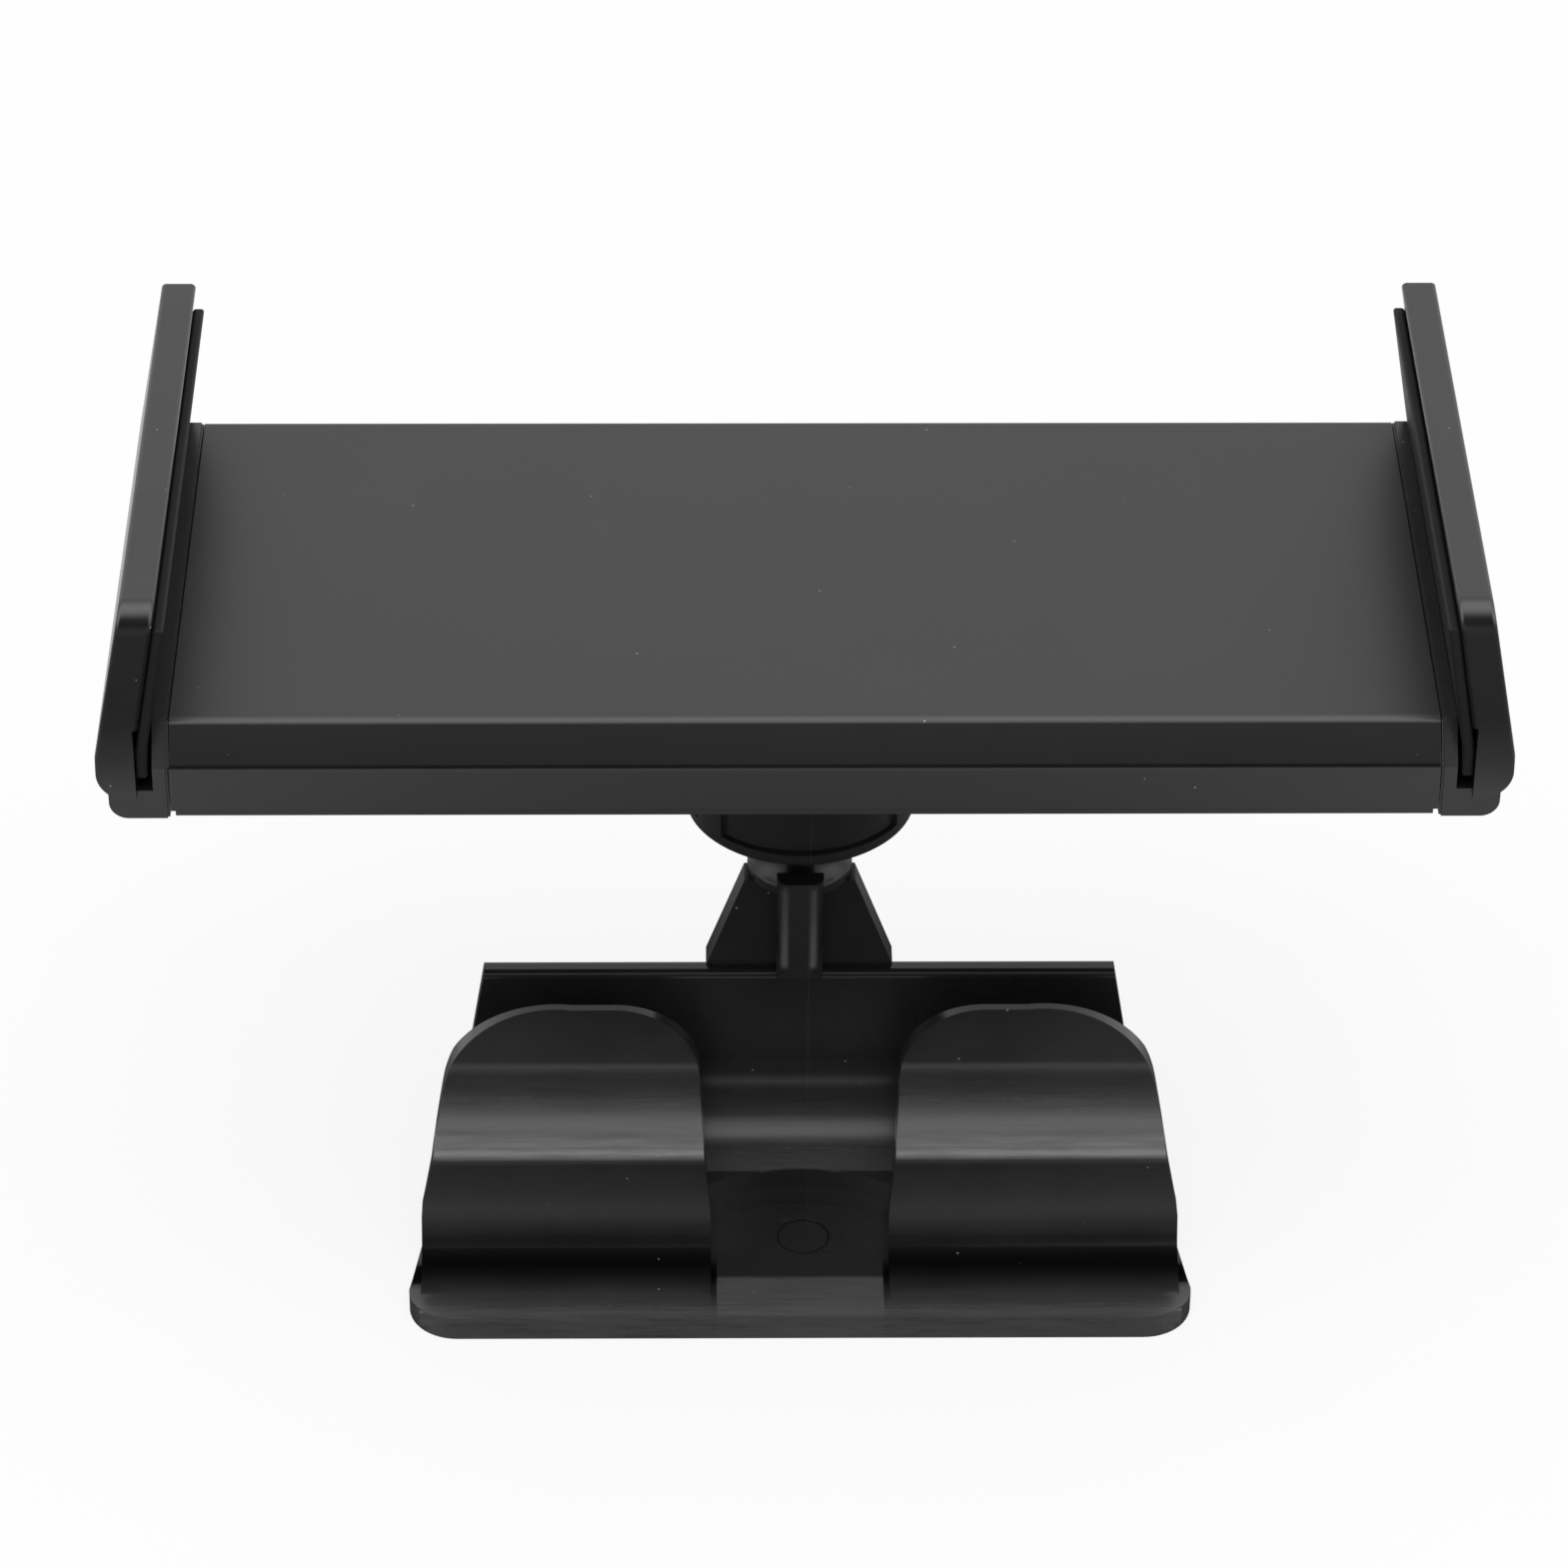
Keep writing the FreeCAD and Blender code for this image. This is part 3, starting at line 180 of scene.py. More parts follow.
# The covers are polished below these heights in mm, and grain is the share of their texture left there.
polished = dict(heights=(74.2, 73.9), roughness=0.17, grain=0.15)

# How the jaws' front ends shine, by height in mm: polished at the foot and the nose, and dull between them.
jawEnds = dict(depths=(-29.0, -29.3),
               shine=[(64.0, 0.6), (68.0, 0.5), (72.0, 0.25), (76.0, 0.12), (86.0, 0.12), (88.8, 0.5)])

# Rub marks and painted sheen on the clip. The pale colour is partly real rubbing and partly painted highlight
# on the tabs' bends, the lower wall, the foot and the gap, and painted highlight on the rib's long edges. The
# curves pair a place in mm with how much of the pale colour shows: by height on the tabs, the wall and the
# rib under the neck, and by depth on the foot and in the gap between the tabs. The other pairs of mm are the
# borders of those zones, and ribSides is where the rib's long edges lie along X. Streaks run along X, a few
# mm
# long: noise within streakRange gives streakStrength times the marks.
rubAndSheenMarks = dict(colour="#7c7c7d", rougher=0.3, streakStretch=0.06, streakScale=2200.0, streakDetail=8.0,
                streakRoughness=0.75, streakRange=(0.3, 0.7), streakStrength=(0.6, 1.4), gapSides=(8.4, 8.5),
                footHeights=(4.5, 4.0), tabDepths=(-9.0, -9.5), wallDepths=(-11.1, -10.9),
                ribDepths=(-3.0, -3.5), ribSides=(-1.55, 1.4), ribHalf=0.6,
                onTabs=[(12.8, 0.0), (13.4, 0.15), (13.8, 0.75), (14.3, 0.95), (14.9, 0.4), (15.4, 0.14),
                        (16.3, 0.1), (17.2, 0.18), (18.4, 0.09), (19.5, 0.06), (22.0, 0.03), (27.0, 0.0)],
                onFoot=[(-29.4, 0.22), (-28.4, 0.3), (-26.9, 0.14), (-24.9, 0.02), (-22.8, 0.0)],
                inGap=[(-29.4, 0.22), (-28.6, 0.42), (-27.0, 0.38), (-22.4, 0.38), (-21.8, 0.03)],
                onWall=[(6.4, 0.0), (6.8, 0.3), (7.3, 0.22), (7.8, 0.12), (9.1, 0.1), (10.6, 0.09),
                        (12.5, 0.03), (15.5, 0.0)],
                onRib=[(27.0, 0.0), (28.0, 0.5), (36.0, 0.26), (39.6, 0.2), (40.7, 0.0)])

# The gutter at the foot of each tab is painted black as shade, and hardly shines. Higher up, the web and
# the collar shine less too. Lengths are in mm, and noShine is the share of gutter at which all shine is gone.
clipShadeAndDull = dict(gutter=-21.6, gutterHalf=3.0, gutterHeights=(6.0, 5.2), colour="#0b0b0c", noShine=0.6,
                shine=[(24.0, 1.0), (29.0, 0.4), (41.0, 0.3), (45.0, 0.12)])

# The moulding's parting line, and the round mark in the floor where the mould's ejector pin pushed, in mm.
mouldMarks = dict(lineX=0.95, lineHalf=0.07, lineDepths=(-14.0, -13.5), lineColour="#3c3c3d",
                  ringX=0.4, ringY=-15.5, ringRadius=2.6, ringHalf=0.16, ringColour="#0b0b0c")


def polishSides(tree, place, axes, look):
    side = past(tree, axes["Z"], polished["heights"])
    look["roughness"] = blend(tree, side, look["roughness"], polished["roughness"])
    look["bump"] = ranged(tree, side, 0.0, 1.0, look["bump"], polished["grain"])


def dullJawEnds(tree, place, axes, look):
    ends = past(tree, axes["Y"], jawEnds["depths"])
    look["level"] = blend(tree, ends, look["level"], along(tree, axes["Z"], jawEnds["shine"]))


# The share of the pale colour over the clip: rub marks mixed with painted sheen and highlights.
def rubAndSheenShare(tree, axes, streaks, outside, foot):
    marks = rubAndSheenMarks
    rubWithSheen = combine(tree, "MULTIPLY", foot, blend(tree, outside, along(tree, axes["Y"], marks["inGap"]),
                                                   along(tree, axes["Y"], marks["onFoot"])))
    for curve, depths in (("onTabs", "tabDepths"), ("onWall", "wallDepths")):
        zone = past(tree, axes["Y"], marks[depths])
        rubWithSheen = combine(tree, "MAXIMUM", rubWithSheen,
                         combine(tree, "MULTIPLY", along(tree, axes["Z"], marks[curve]), zone))
    strength = ranged(tree, streaks, *marks["streakRange"], *marks["streakStrength"])
    # Both long edges of the rib under the neck get a painted highlight.
    edges = combine(tree, "MAXIMUM",
                    *[band(tree, axes["X"], side, marks["ribHalf"]) for side in marks["ribSides"]])
    onRib = combine(tree, "MULTIPLY", along(tree, axes["Z"], marks["onRib"]),
                    past(tree, axes["Y"], marks["ribDepths"]))
    return combine(tree, "MAXIMUM", combine(tree, "MULTIPLY", strength, rubWithSheen),
                   combine(tree, "MULTIPLY", edges, onRib))


def ringShare(tree, axes, foot):
    marks = mouldMarks
    away = addNode(tree, "ShaderNodeVectorMath", {"operation": "DISTANCE"})
    spot = addNode(tree, "ShaderNodeCombineXYZ", X=axes["X"], Y=axes["Y"])
    tree.links.new(spot.outputs[0], away.inputs[0])
    away.inputs[1].default_value = (marks["ringX"] * mm, marks["ringY"] * mm, 0)
    return combine(tree, "MULTIPLY", foot,
                   band(tree, away.outputs["Value"], marks["ringRadius"], marks["ringHalf"]))


def markAndShadeClip(tree, place, axes, look):
    outside = past(tree, combine(tree, "ABSOLUTE", axes["X"]), rubAndSheenMarks["gapSides"])
    foot = past(tree, axes["Z"], rubAndSheenMarks["footHeights"])
    stretched = addNode(tree, "ShaderNodeMapping", {"Scale": (rubAndSheenMarks["streakStretch"], 1.0, 1.0)},
                        Vector=place).outputs["Vector"]
    streaks = addNode(tree, "ShaderNodeTexNoise",
                      {"Scale": rubAndSheenMarks["streakScale"], "Detail": rubAndSheenMarks["streakDetail"],
                       "Roughness": rubAndSheenMarks["streakRoughness"]}, Vector=stretched).outputs["Fac"]
    rubWithSheen = rubAndSheenShare(tree, axes, streaks, outside, foot)
    onLine = combine(tree, "MULTIPLY", band(tree, axes["X"], mouldMarks["lineX"], mouldMarks["lineHalf"]),
                     past(tree, axes["Y"], mouldMarks["lineDepths"]))
    # The gutter's painted shade: a black band at the foot of each tab.
    gutter = combine(tree, "MULTIPLY", band(tree, axes["Y"], clipShadeAndDull["gutter"], clipShadeAndDull["gutterHalf"]),
                     combine(tree, "MULTIPLY", outside, past(tree, axes["Z"], clipShadeAndDull["gutterHeights"])))
    # Layers: pale rub marks with painted sheen, the parting line, the ejector ring, and the gutter's painted
    # shade.
    layers = ((rubWithSheen, rubAndSheenMarks["colour"]),
              (combine(tree, "MULTIPLY", onLine, streaks), mouldMarks["lineColour"]),
              (ringShare(tree, axes, foot), mouldMarks["ringColour"]), (gutter, clipShadeAndDull["colour"]))
    for share, colour in layers:
        look["colour"] = layer(tree, share, look["colour"], colour)
    look["roughness"] = combine(tree, "MULTIPLY_ADD", rubWithSheen, rubAndSheenMarks["rougher"], look["roughness"])
    shineOutsideShade = ranged(tree, gutter, 0.0, clipShadeAndDull["noShine"], look["level"], 0.0)
    look["level"] = combine(tree, "MULTIPLY", shineOutsideShade, along(tree, axes["Z"], clipShadeAndDull["shine"]))


def addDust(tree, place, look, share):
    cells = addNode(tree, "ShaderNodeTexVoronoi", {"Scale": 1 / (dustLook["cell"] * mm)}, Vector=place)
    speck = ranged(tree, cells.outputs["Distance"], dustLook["inner"], dustLook["outer"],
                   dustLook["strength"], 0.0)
    # The cell's own shade picks whether it holds a speck.
    shade = addNode(tree, "ShaderNodeSeparateColor", Color=cells.outputs["Color"])
    picked = combine(tree, "LESS_THAN", shade.outputs["Red"], share)
    look["colour"] = layer(tree, combine(tree, "MULTIPLY", speck, picked), look["colour"], dustLook["colour"])


# Plastics with a look of their own beside the cloud, the grain and the dust.
ownLooks = {"sparkTexturedAbs": polishSides, "satinMouldedAbs": dullJawEnds, "glossMouldedAbs": markAndShadeClip}


def plastic(name, colour, worn, roughness, spread, grain, relief, ior, level, dust):
    material, tree = newMaterial(name)
    place = addNode(tree, "ShaderNodeTexCoord").outputs["Object"]
    axes = addNode(tree, "ShaderNodeSeparateXYZ", Vector=place).outputs
    cloud = addNode(tree, "ShaderNodeTexNoise",
                    {"Scale": cloudLook["scale"], "Detail": cloudLook["detail"],
                     "Roughness": cloudLook["roughness"]}, Vector=place).outputs["Fac"]
    tint = addNode(tree, "ShaderNodeValToRGB", Fac=cloud)
    for element, border, tone in zip(tint.color_ramp.elements, ("plainTo", "wornFrom"), (colour, worn)):
        element.position = cloudLook[border]
        element.color = hexColour(tone)
    look = dict(colour=tint.outputs["Color"], level=level, bump=1.0,
                roughness=ranged(tree, cloud, 0.0, 1.0, roughness - spread, roughness + spread))
    if name in ownLooks:
        ownLooks[name](tree, place, axes, look)
    if dust:
        addDust(tree, place, look, dust)
    pits = addNode(tree, "ShaderNodeTexNoise",
                   {"Scale": 1 / (grain * mm), "Detail": cloudLook["grainDetail"]}, Vector=place)
    bump = addNode(tree, "ShaderNodeBump", {"Distance": relief * mm}, Height=pits.outputs["Fac"])
    feed(tree, bump.inputs["Strength"], look["bump"])
    shader = addNode(tree, "ShaderNodeBsdfPrincipled", {"IOR": ior}, Base_Color=look["colour"],
                     Roughness=look["roughness"], Normal=bump.outputs["Normal"])
    feed(tree, shader.inputs["Specular IOR Level"], look["level"])
    addNode(tree, "ShaderNodeOutputMaterial", Surface=shader.outputs["BSDF"])
    return material


# The metals: black zinc on the screws gives a dark grey glint, and the spring wire is bright drawn steel.
# Both have turned or drawn lines, which are 2 pi times line mm apart.
metals = {
    "blackZincSteel": dict(colour="#4a4b4e", roughness=0.34, line=0.6),
    "drawnSpringSteel": dict(colour="#b4b5b8", roughness=0.26, line=0.45),
}
# The waveShare undoes the wave texture's own factor of 20, and the lines are relief mm deep. A cloud makes
# the metal smoother and rougher in turn.
metalLook = dict(waveShare=0.05, waver=0.4, relief=0.02, bump=0.6, cloudScale=600.0, cloudDetail=3.0,
                 smoother=0.08, rougher=0.1)


def metal(name, colour, roughness, line):
    material, tree = newMaterial(name)
    place = addNode(tree, "ShaderNodeTexCoord").outputs["Object"]
    lines = addNode(tree, "ShaderNodeTexWave",
                    {"Scale": metalLook["waveShare"] / (line * mm), "Distortion": metalLook["waver"],
                     "bands_direction": "X"}, Vector=place)
    cloud = addNode(tree, "ShaderNodeTexNoise",
                    {"Scale": metalLook["cloudScale"], "Detail": metalLook["cloudDetail"]}, Vector=place)
    shine = ranged(tree, cloud.outputs["Fac"], 0.0, 1.0, roughness - metalLook["smoother"],
                   roughness + metalLook["rougher"])
    bump = addNode(tree, "ShaderNodeBump",
                   {"Strength": metalLook["bump"], "Distance": metalLook["relief"] * mm},
                   Height=lines.outputs["Fac"])
    shader = addNode(tree, "ShaderNodeBsdfPrincipled", {"Base Color": hexColour(colour), "Metallic": 1.0},
                     Roughness=shine, Normal=bump.outputs["Normal"])
    addNode(tree, "ShaderNodeOutputMaterial", Surface=shader.outputs["BSDF"])
    return material


finishes = {name: plastic(name, **look) for name, look in plastics.items()}
finishes.update({name: metal(name, **look) for name, look in metals.items()})
print("stage: materials made")

slotFinish = {
    "clip_plastic": "glossMouldedAbs", "ball_plastic": "turnedAcetal", "cup_plastic": "mouldedNylon",
    "cover_plastic": "sparkTexturedAbs", "jaw_plastic": "satinMouldedAbs", "pad_rubber": "pressedRubber",
    "plate_plastic": "mouldedNylon", "gear_plastic": "naturalAcetal", "screw_steel": "blackZincSteel",
    "spring_steel": "drawnSpringSteel",
}

# How far each moulding's edges are rounded, in mm. Pieces not named here have crisp edges.
edgeRounds = {
    "front_cover": 0.6, "rear_cover": 0.45, "clip_bracket": 0.3, "left_jaw": 0.7, "right_jaw": 0.7,
    "left_pad": 0.4, "right_pad": 0.4, "lock_collar": 0.2, "ball_stud": 0.2,
}
# Lengths are in mm and angles in degrees. Faces within flatAngle of each other become one, but not on the
# curved piece, whose bends would break up.
edgeLook = dict(crisp=0.12, roundSegments=3, weld=0.002, flatAngle=0.6, sharpAngle=32.0,
                curved="clip_bracket")


# Give a CAD node its finish, and round its edges with modifiers.
def dressNode(name, slot):
    item = frame["nodes"][name]
    item.data.materials.clear()
    item.data.materials.append(finishes[slotFinish[slot]])
    if item.data.has_custom_normals:
        bpy.context.view_layer.objects.active = item
        with bpy.context.temp_override(object=item, active_object=item):
            bpy.ops.mesh.customdata_custom_splitnormals_clear()
    item.data.shade_smooth()
    item.modifiers.new("weld", "WELD").merge_threshold = edgeLook["weld"] * mm
    if name != edgeLook["curved"]:
        flat = item.modifiers.new("flatFaces", "DECIMATE")
        flat.decimate_type = "DISSOLVE"
        flat.angle_limit = math.radians(edgeLook["flatAngle"])
    edge = item.modifiers.new("roundedEdges", "BEVEL")
    edge.width = edgeRounds.get(name, edgeLook["crisp"]) * mm
    edge.segments = edgeLook["roundSegments"] if name in edgeRounds else 1
    edge.limit_method = "ANGLE"
    edge.angle_limit = math.radians(edgeLook["sharpAngle"])
    edge.harden_normals = True
    item.modifiers.new("evenShading", "WEIGHTED_NORMAL").keep_sharp = True


for part in frame["record"]["subparts"]:
    dressNode(part["node"], part["material_slot"])
print("stage: CAD nodes dressed")


# Put a mesh in the scene with its material.
def addPiece(name, mesh, material):
    mesh.materials.append(material)
    piece = bpy.data.objects.new(name, mesh)
    bpy.context.scene.collection.objects.link(piece)
    return piece


# Thin lips that stand from each jaw's inner face and close the gap to the cradle's end, in mm. The outline
# follows the jaw block from its front foot over the top to its back foot. The inner outline's corners shift
# by slant, a share of the width.
jawLip = dict(face=60.32, thick=0.24, width=1.0, slant=0.4, sides=28.8, foot=64.9, crease=70.5, shoulder=26.0,
              top=74.0, edge=0.05, edgeSegments=2)


def makeJawLip(name, side, body):
    width, slant = jawLip["width"], jawLip["width"] * jawLip["slant"]
    outerHalf = [(jawLip["sides"], jawLip["foot"]), (jawLip["sides"], jawLip["crease"]),
                 (jawLip["shoulder"], jawLip["top"])]
    shifts = [(width, 0.0), (width, slant), (slant, width)]
    innerHalf = [(y - inward, z - down) for (y, z), (inward, down) in zip(outerHalf, shifts)]
    outer, inner = [[(-y, z) for y, z in half] + half[::-1] for half in (outerHalf, innerHalf)]
    count = len(outer)
    corners = []
    for x in (jawLip["face"], jawLip["face"] - jawLip["thick"]):
        corners += [(side * x * mm, y * mm, z * mm) for y, z in outer + inner]
    faces = []
    for i in range(count - 1):
        flat = (i, i + 1, count + i + 1, count + i)
        faces.append(flat)
        faces.append(tuple(2 * count + corner for corner in reversed(flat)))
        faces.append((i + 1, i, 2 * count + i, 2 * count + i + 1))
        faces.append((count + i, count + i + 1, 3 * count + i + 1, 3 * count + i))
    for end in (0, count - 1):
        loop = (end, count + end, 3 * count + end, 2 * count + end)
        faces.append(loop if end == 0 else tuple(reversed(loop)))
    mesh = bpy.data.meshes.new(name)
    mesh.from_pydata(corners, [], faces)
    if side > 0:
        mesh.flip_normals()
    piece = addPiece(name, mesh, finishes["satinMouldedAbs"])
    edge = piece.modifiers.new("roundedEdges", "BEVEL")
    edge.width = jawLip["edge"] * mm
    edge.segments = jawLip["edgeSegments"]
    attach(piece, body)


makeJawLip("leftJawLip", -1, "left_slider")
makeJawLip("rightJawLip", 1, "right_slider")
print("stage: jaw lips made")

# Pan-head screws with a cross recess and a thread, in mm. The heads face down, and base is the head's
# underside, which curves up by dome round its flat middle, with rings at domeTurns of a quarter turn. The
# thread runs from lead above the head to tipTall below the screw's top, with this many rows to each pitch.
screwShape = dict(base=64.85, headRadius=1.9, headTall=1.1, flat=1.5, dome=0.3, domeTurns=(0.35, 0.7, 1.0),
                  shankRadius=1.0, threadDeep=0.2, pitch=0.75, lead=0.3, rows=6, tipTall=0.6, tipShare=0.45,
                  armHalf=0.24, armReach=1.05, recessDeep=0.75, taper=0.55, sides=32, sharpAngle=40.0)
# The node that each set of screws replaces, its body, the centres and the height of the screws' tops in mm.
screwSets = {
    "crossHousingScrews": dict(node="housing_screws", body="cradle", top=71.5,
                               centres=[(x, y) for x in (-55.4, 55.4) for y in (-24.3, 24.3)]),
    "crossLeftJawScrews": dict(node="left_jaw_screws", body="left_slider", top=69.7,
                               centres=[(-62.5, -10), (-62.5, 10)]),
    "crossRightJawScrews": dict(node="right_jaw_screws", body="right_slider", top=71.4,
                                centres=[(62.5, -10), (62.5, 10)]),
}


# The radius and height of each ring above the head's flat middle. In the thread each side has its own radius.
def screwRows(top):
    shape, sides = screwShape, screwShape["sides"]
    rows = []
    for turn in shape["domeTurns"]:
        angle = turn * math.pi / 2
        rows.append((shape["flat"] + (shape["headRadius"] - shape["flat"]) * math.sin(angle),
                     shape["base"] + shape["dome"] * (1 - math.cos(angle))))
    under = shape["base"] + shape["headTall"]
    rows += [(shape["headRadius"], under), (shape["shankRadius"], under)]
    steps = round((top - shape["tipTall"] - under - shape["lead"]) / shape["pitch"] * shape["rows"])
    for step in range(steps + 1):
        phases = [(step / shape["rows"] - k / sides) % 1.0 for k in range(sides)]
        radii = [shape["shankRadius"] - shape["threadDeep"] * (1 - abs(2 * phase - 1)) for phase in phases]
        rows.append((radii, under + shape["lead"] + step * shape["pitch"] / shape["rows"]))
    return rows + [(shape["shankRadius"] * shape["tipShare"], top)]


# One screw, from its recessed underside up to its tip at the height top.
def addScrew(form, centre, top):
    shape, sides = screwShape, screwShape["sides"]
    x, y = centre

    def ring(radius, height):
        radii = radius if isinstance(radius, list) else [radius] * sides
        return [form.verts.new(((x + radii[k] * math.cos(2 * math.pi * k / sides)) * mm,
                                (y + radii[k] * math.sin(2 * math.pi * k / sides)) * mm, height * mm))
                for k in range(sides)]

    def join(low, high):
        for k in range(len(low)):
            form.faces.new((low[k], low[(k + 1) % len(low)], high[(k + 1) % len(low)], high[k]))

    base, half, reach = shape["base"], shape["armHalf"], shape["armReach"]
    arm = [(half, half), (half, reach), (-half, reach)]
    cross = []
    for quarter in range(4):
        cross += arm
        arm = [(-b, a) for a, b in arm]
    mouth, deep = [[form.verts.new(((x + a * share) * mm, (y + b * share) * mm, level * mm))
                    for a, b in cross]
                   for share, level in ((1.0, base), (shape["taper"], base + shape["recessDeep"]))]
    join(mouth, deep)
    form.faces.new(deep)
    last = ring(shape["flat"], base)
    spots = last + mouth
    for corners in tessellate_polygon([[vert.co for vert in last], [vert.co for vert in mouth]]):
        form.faces.new([spots[corner] for corner in corners])
    for radius, level in screwRows(top):
        following = ring(radius, level)
        join(last, following)
        last = following
    form.faces.new(last)


def makeScrews(name, node, body, top, centres):
    form = bmesh.new()
    for centre in centres:
        addScrew(form, centre, top)
    bmesh.ops.recalc_face_normals(form, faces=form.faces)
    mesh = bpy.data.meshes.new(name)
    form.to_mesh(mesh)
    form.free()
    mesh.shade_smooth()
    mesh.set_sharp_from_angle(angle=math.radians(screwShape["sharpAngle"]))
    piece = addPiece(name, mesh, finishes["blackZincSteel"])
    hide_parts(node)
    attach(piece, body)


for name, screws in screwSets.items():
    makeScrews(name, **screws)
print("stage: screws made")

# What gloss mirrors: the brightness from straight away from the camera's side (0) to straight behind the
# camera (1), with white paper, then a bright softbox overhead and in front, then the dark room. The middle of
# the dark side is darkRise degrees above level.
mirrored = [(0.0, 0.9), (0.2, 1.05), (0.34, 1.1), (0.42, 1.9), (0.52, 2.6), (0.62, 3.0), (0.72, 3.0),
            (0.8, 2.4), (0.87, 1.7), (0.905, 0.9), (0.93, 0.15), (0.95, 0.07), (1.0, 0.03)]
room = dict(darkRise=12.0, ambient=0.5)

# The table is mostly self-lit white to the eye, by the share selfLit. Gloss sees it with a painted soft
# shadow round the holder, with the share nearGloss of its light within darkWithin mm and farGloss from
# paleFrom mm on, both shortened along X by shadowStretch. The paper's grain is grainScale to a metre and
# relief mm deep.
paperTable = dict(size=6.0, tone="#f2f2f2", selfLit=0.85, darkWithin=55.0, paleFrom=165.0, nearGloss=0.04,
                  farGloss=0.95, shadowStretch=1.5, grainScale=900.0, grainDetail=2.0, relief=0.01)

# The lights, which point at aim. Places and sizes are in metres, and power is in watts.
softboxes = {
    "topSoftbox": dict(place=(0.0, 0.12, 0.95), size=1.2, power=4.5),
    "frontSoftbox": dict(place=(0.0, -0.42, 0.95), size=0.8, power=4.0),
}
aim = (0, 0, 0.05)


def areaLight(name, place, size, power):
    lamp = bpy.data.lights.new(name, "AREA")
    lamp.shape = "SQUARE"
    lamp.size, lamp.energy = size, power
    light = bpy.data.objects.new(name, lamp)
    light.location = place
    light.rotation_euler = (Vector(aim) - Vector(place)).to_track_quat("-Z", "Y").to_euler()
    light.visible_glossy = False
    bpy.context.scene.collection.objects.link(light)


def shared(tree, share, first, second):
    mix = addNode(tree, "ShaderNodeMixShader")
    for socket, source in zip(mix.inputs, (share, first, second)):
        tree.links.new(source, socket)
    return mix.outputs[0]


# 1 for the camera's rays, and for those that pass through a clear piece.
def eyeRays(tree, path):
    return combine(tree, "MAXIMUM", path.outputs["Is Camera Ray"], path.outputs["Is Transmission Ray"])


def buildWorld():
    world = bpy.data.worlds.new("studioWorld")
    bpy.context.scene.world = world
    world.use_nodes = True
    tree = world.node_tree
    tree.nodes.clear()
    path = addNode(tree, "ShaderNodeLightPath")
    soft, white, gloss = [
        addNode(tree, "ShaderNodeBackground", {"Color": hexColour("#ffffff"), "Strength": power})
        for power in (room["ambient"], 1.0, 1.0)]
    # How far each direction points to the dark side picks its place on the curve.
    rise = math.radians(room["darkRise"])
    facing = addNode(tree, "ShaderNodeVectorMath", {"operation": "DOT_PRODUCT"})
    tree.links.new(addNode(tree, "ShaderNodeTexCoord").outputs["Generated"], facing.inputs[0])
    facing.inputs[1].default_value = (0, -math.cos(rise), math.sin(rise))
    curve = addNode(tree, "ShaderNodeFloatCurve", Value=ranged(tree, facing.outputs["Value"], -1.0, 1.0))
    brightest = max(strength for spot, strength in mirrored)
    fillCurve(curve, [(spot, strength / brightest) for spot, strength in mirrored])
    feed(tree, gloss.inputs["Strength"], combine(tree, "MULTIPLY", curve.outputs["Value"], brightest))
    lit = shared(tree, path.outputs["Is Glossy Ray"], soft.outputs[0], gloss.outputs[0])
    addNode(tree, "ShaderNodeOutputWorld", Surface=shared(tree, eyeRays(tree, path), lit, white.outputs[0]))


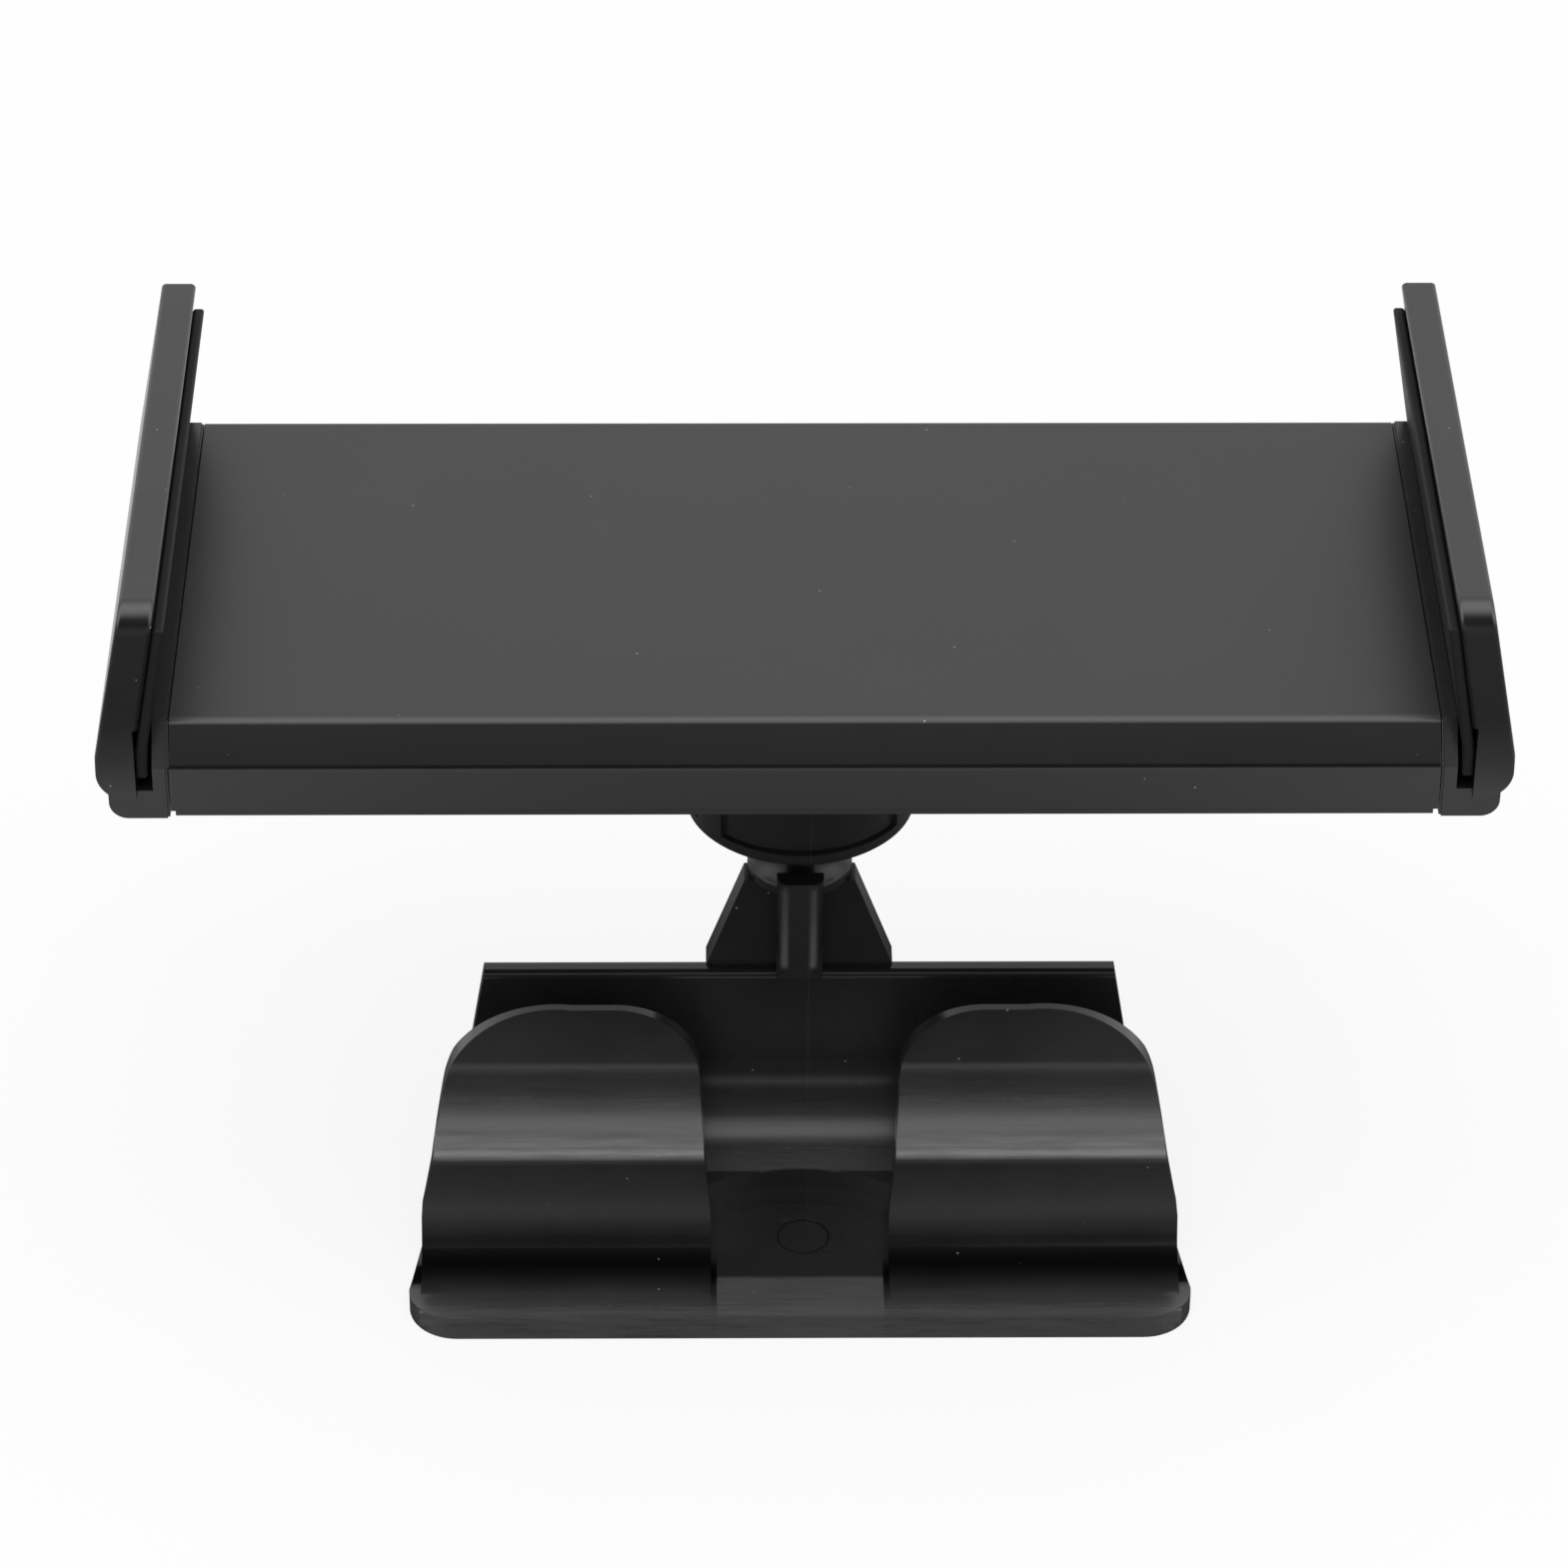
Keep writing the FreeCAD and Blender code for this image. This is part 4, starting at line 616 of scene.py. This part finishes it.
# White paper: to the eye it is an even white that still takes a faint shadow.
def whitePaper():
    material, tree = newMaterial("whitePaper")
    path = addNode(tree, "ShaderNodeLightPath")
    grain = addNode(tree, "ShaderNodeTexNoise",
                    {"Scale": paperTable["grainScale"], "Detail": paperTable["grainDetail"]})
    bump = addNode(tree, "ShaderNodeBump", {"Distance": paperTable["relief"] * mm},
                   Height=grain.outputs["Fac"])
    paper = addNode(tree, "ShaderNodeBsdfDiffuse", {"Color": hexColour(paperTable["tone"])},
                    Normal=bump.outputs["Normal"])
    glow, dark = [addNode(tree, "ShaderNodeEmission", {"Color": hexColour("#ffffff"), "Strength": power})
                  for power in (1.0, 0.0)]
    spot = addNode(tree, "ShaderNodeMapping", {"Scale": (paperTable["shadowStretch"], 1.0, 1.0)},
                   Vector=addNode(tree, "ShaderNodeTexCoord").outputs["Object"])
    reach = addNode(tree, "ShaderNodeVectorMath", {"operation": "LENGTH"})
    tree.links.new(spot.outputs["Vector"], reach.inputs[0])
    # The painted shadow that gloss sees: dark near the holder, fading out with distance.
    shadow = ranged(tree, reach.outputs["Value"], paperTable["darkWithin"] * mm, paperTable["paleFrom"] * mm,
                    1 - paperTable["nearGloss"], 1 - paperTable["farGloss"])
    dim = combine(tree, "MULTIPLY", path.outputs["Is Glossy Ray"], shadow)
    seenPaper = shared(tree, dim, paper.outputs[0], dark.outputs[0])
    glowing = combine(tree, "MULTIPLY", eyeRays(tree, path), paperTable["selfLit"])
    addNode(tree, "ShaderNodeOutputMaterial", Surface=shared(tree, glowing, seenPaper, glow.outputs[0]))
    return material


def buildTable():
    half = paperTable["size"] / 2
    mesh = bpy.data.meshes.new("tableTop")
    mesh.from_pydata([(-half, -half, 0), (half, -half, 0), (half, half, 0), (-half, half, 0)], [],
                     [(0, 1, 2, 3)])
    sheet = addPiece("tableTop", mesh, whitePaper())


# Where the photograph was taken from, found from the corners of the cradle and its jaws, in mm and degrees.
# The camera's clipping distances are in metres.
viewpoint = dict(target=(-2.25, -45.19, 80.44), distance=560.0, azimuth=-0.79, elevation=35.84, roll=0.36,
                 focalPixels=6150.0, framePixels=1569.0, sensorWidth=36.0, clipNear=0.01, clipFar=50.0)


def placeCamera():
    data = bpy.data.cameras.new("photoCamera")
    camera = bpy.data.objects.new("photoCamera", data)
    bpy.context.scene.collection.objects.link(camera)
    bpy.context.scene.camera = camera
    data.sensor_width = viewpoint["sensorWidth"]
    data.lens = viewpoint["focalPixels"] / viewpoint["framePixels"] * data.sensor_width
    data.clip_start, data.clip_end = viewpoint["clipNear"], viewpoint["clipFar"]
    side, rise, roll = [math.radians(viewpoint[name]) for name in ("azimuth", "elevation", "roll")]
    back = Vector((math.sin(side) * math.cos(rise), -math.cos(side) * math.cos(rise), math.sin(rise)))
    level = Vector((math.cos(side), math.sin(side), 0))
    upward = back.cross(level)
    right = level * math.cos(roll) + upward * math.sin(roll)
    up = upward * math.cos(roll) - level * math.sin(roll)
    place = (Vector(viewpoint["target"]) + back * viewpoint["distance"]) * mm
    camera.matrix_world = Matrix.Translation(place) @ Matrix((right, up, back)).transposed().to_4x4()


buildWorld()
buildTable()
for name, softbox in softboxes.items():
    areaLight(name, **softbox)
placeCamera()
scene = bpy.context.scene
scene.view_settings.view_transform = "Standard"
print("stage: studio and camera placed")
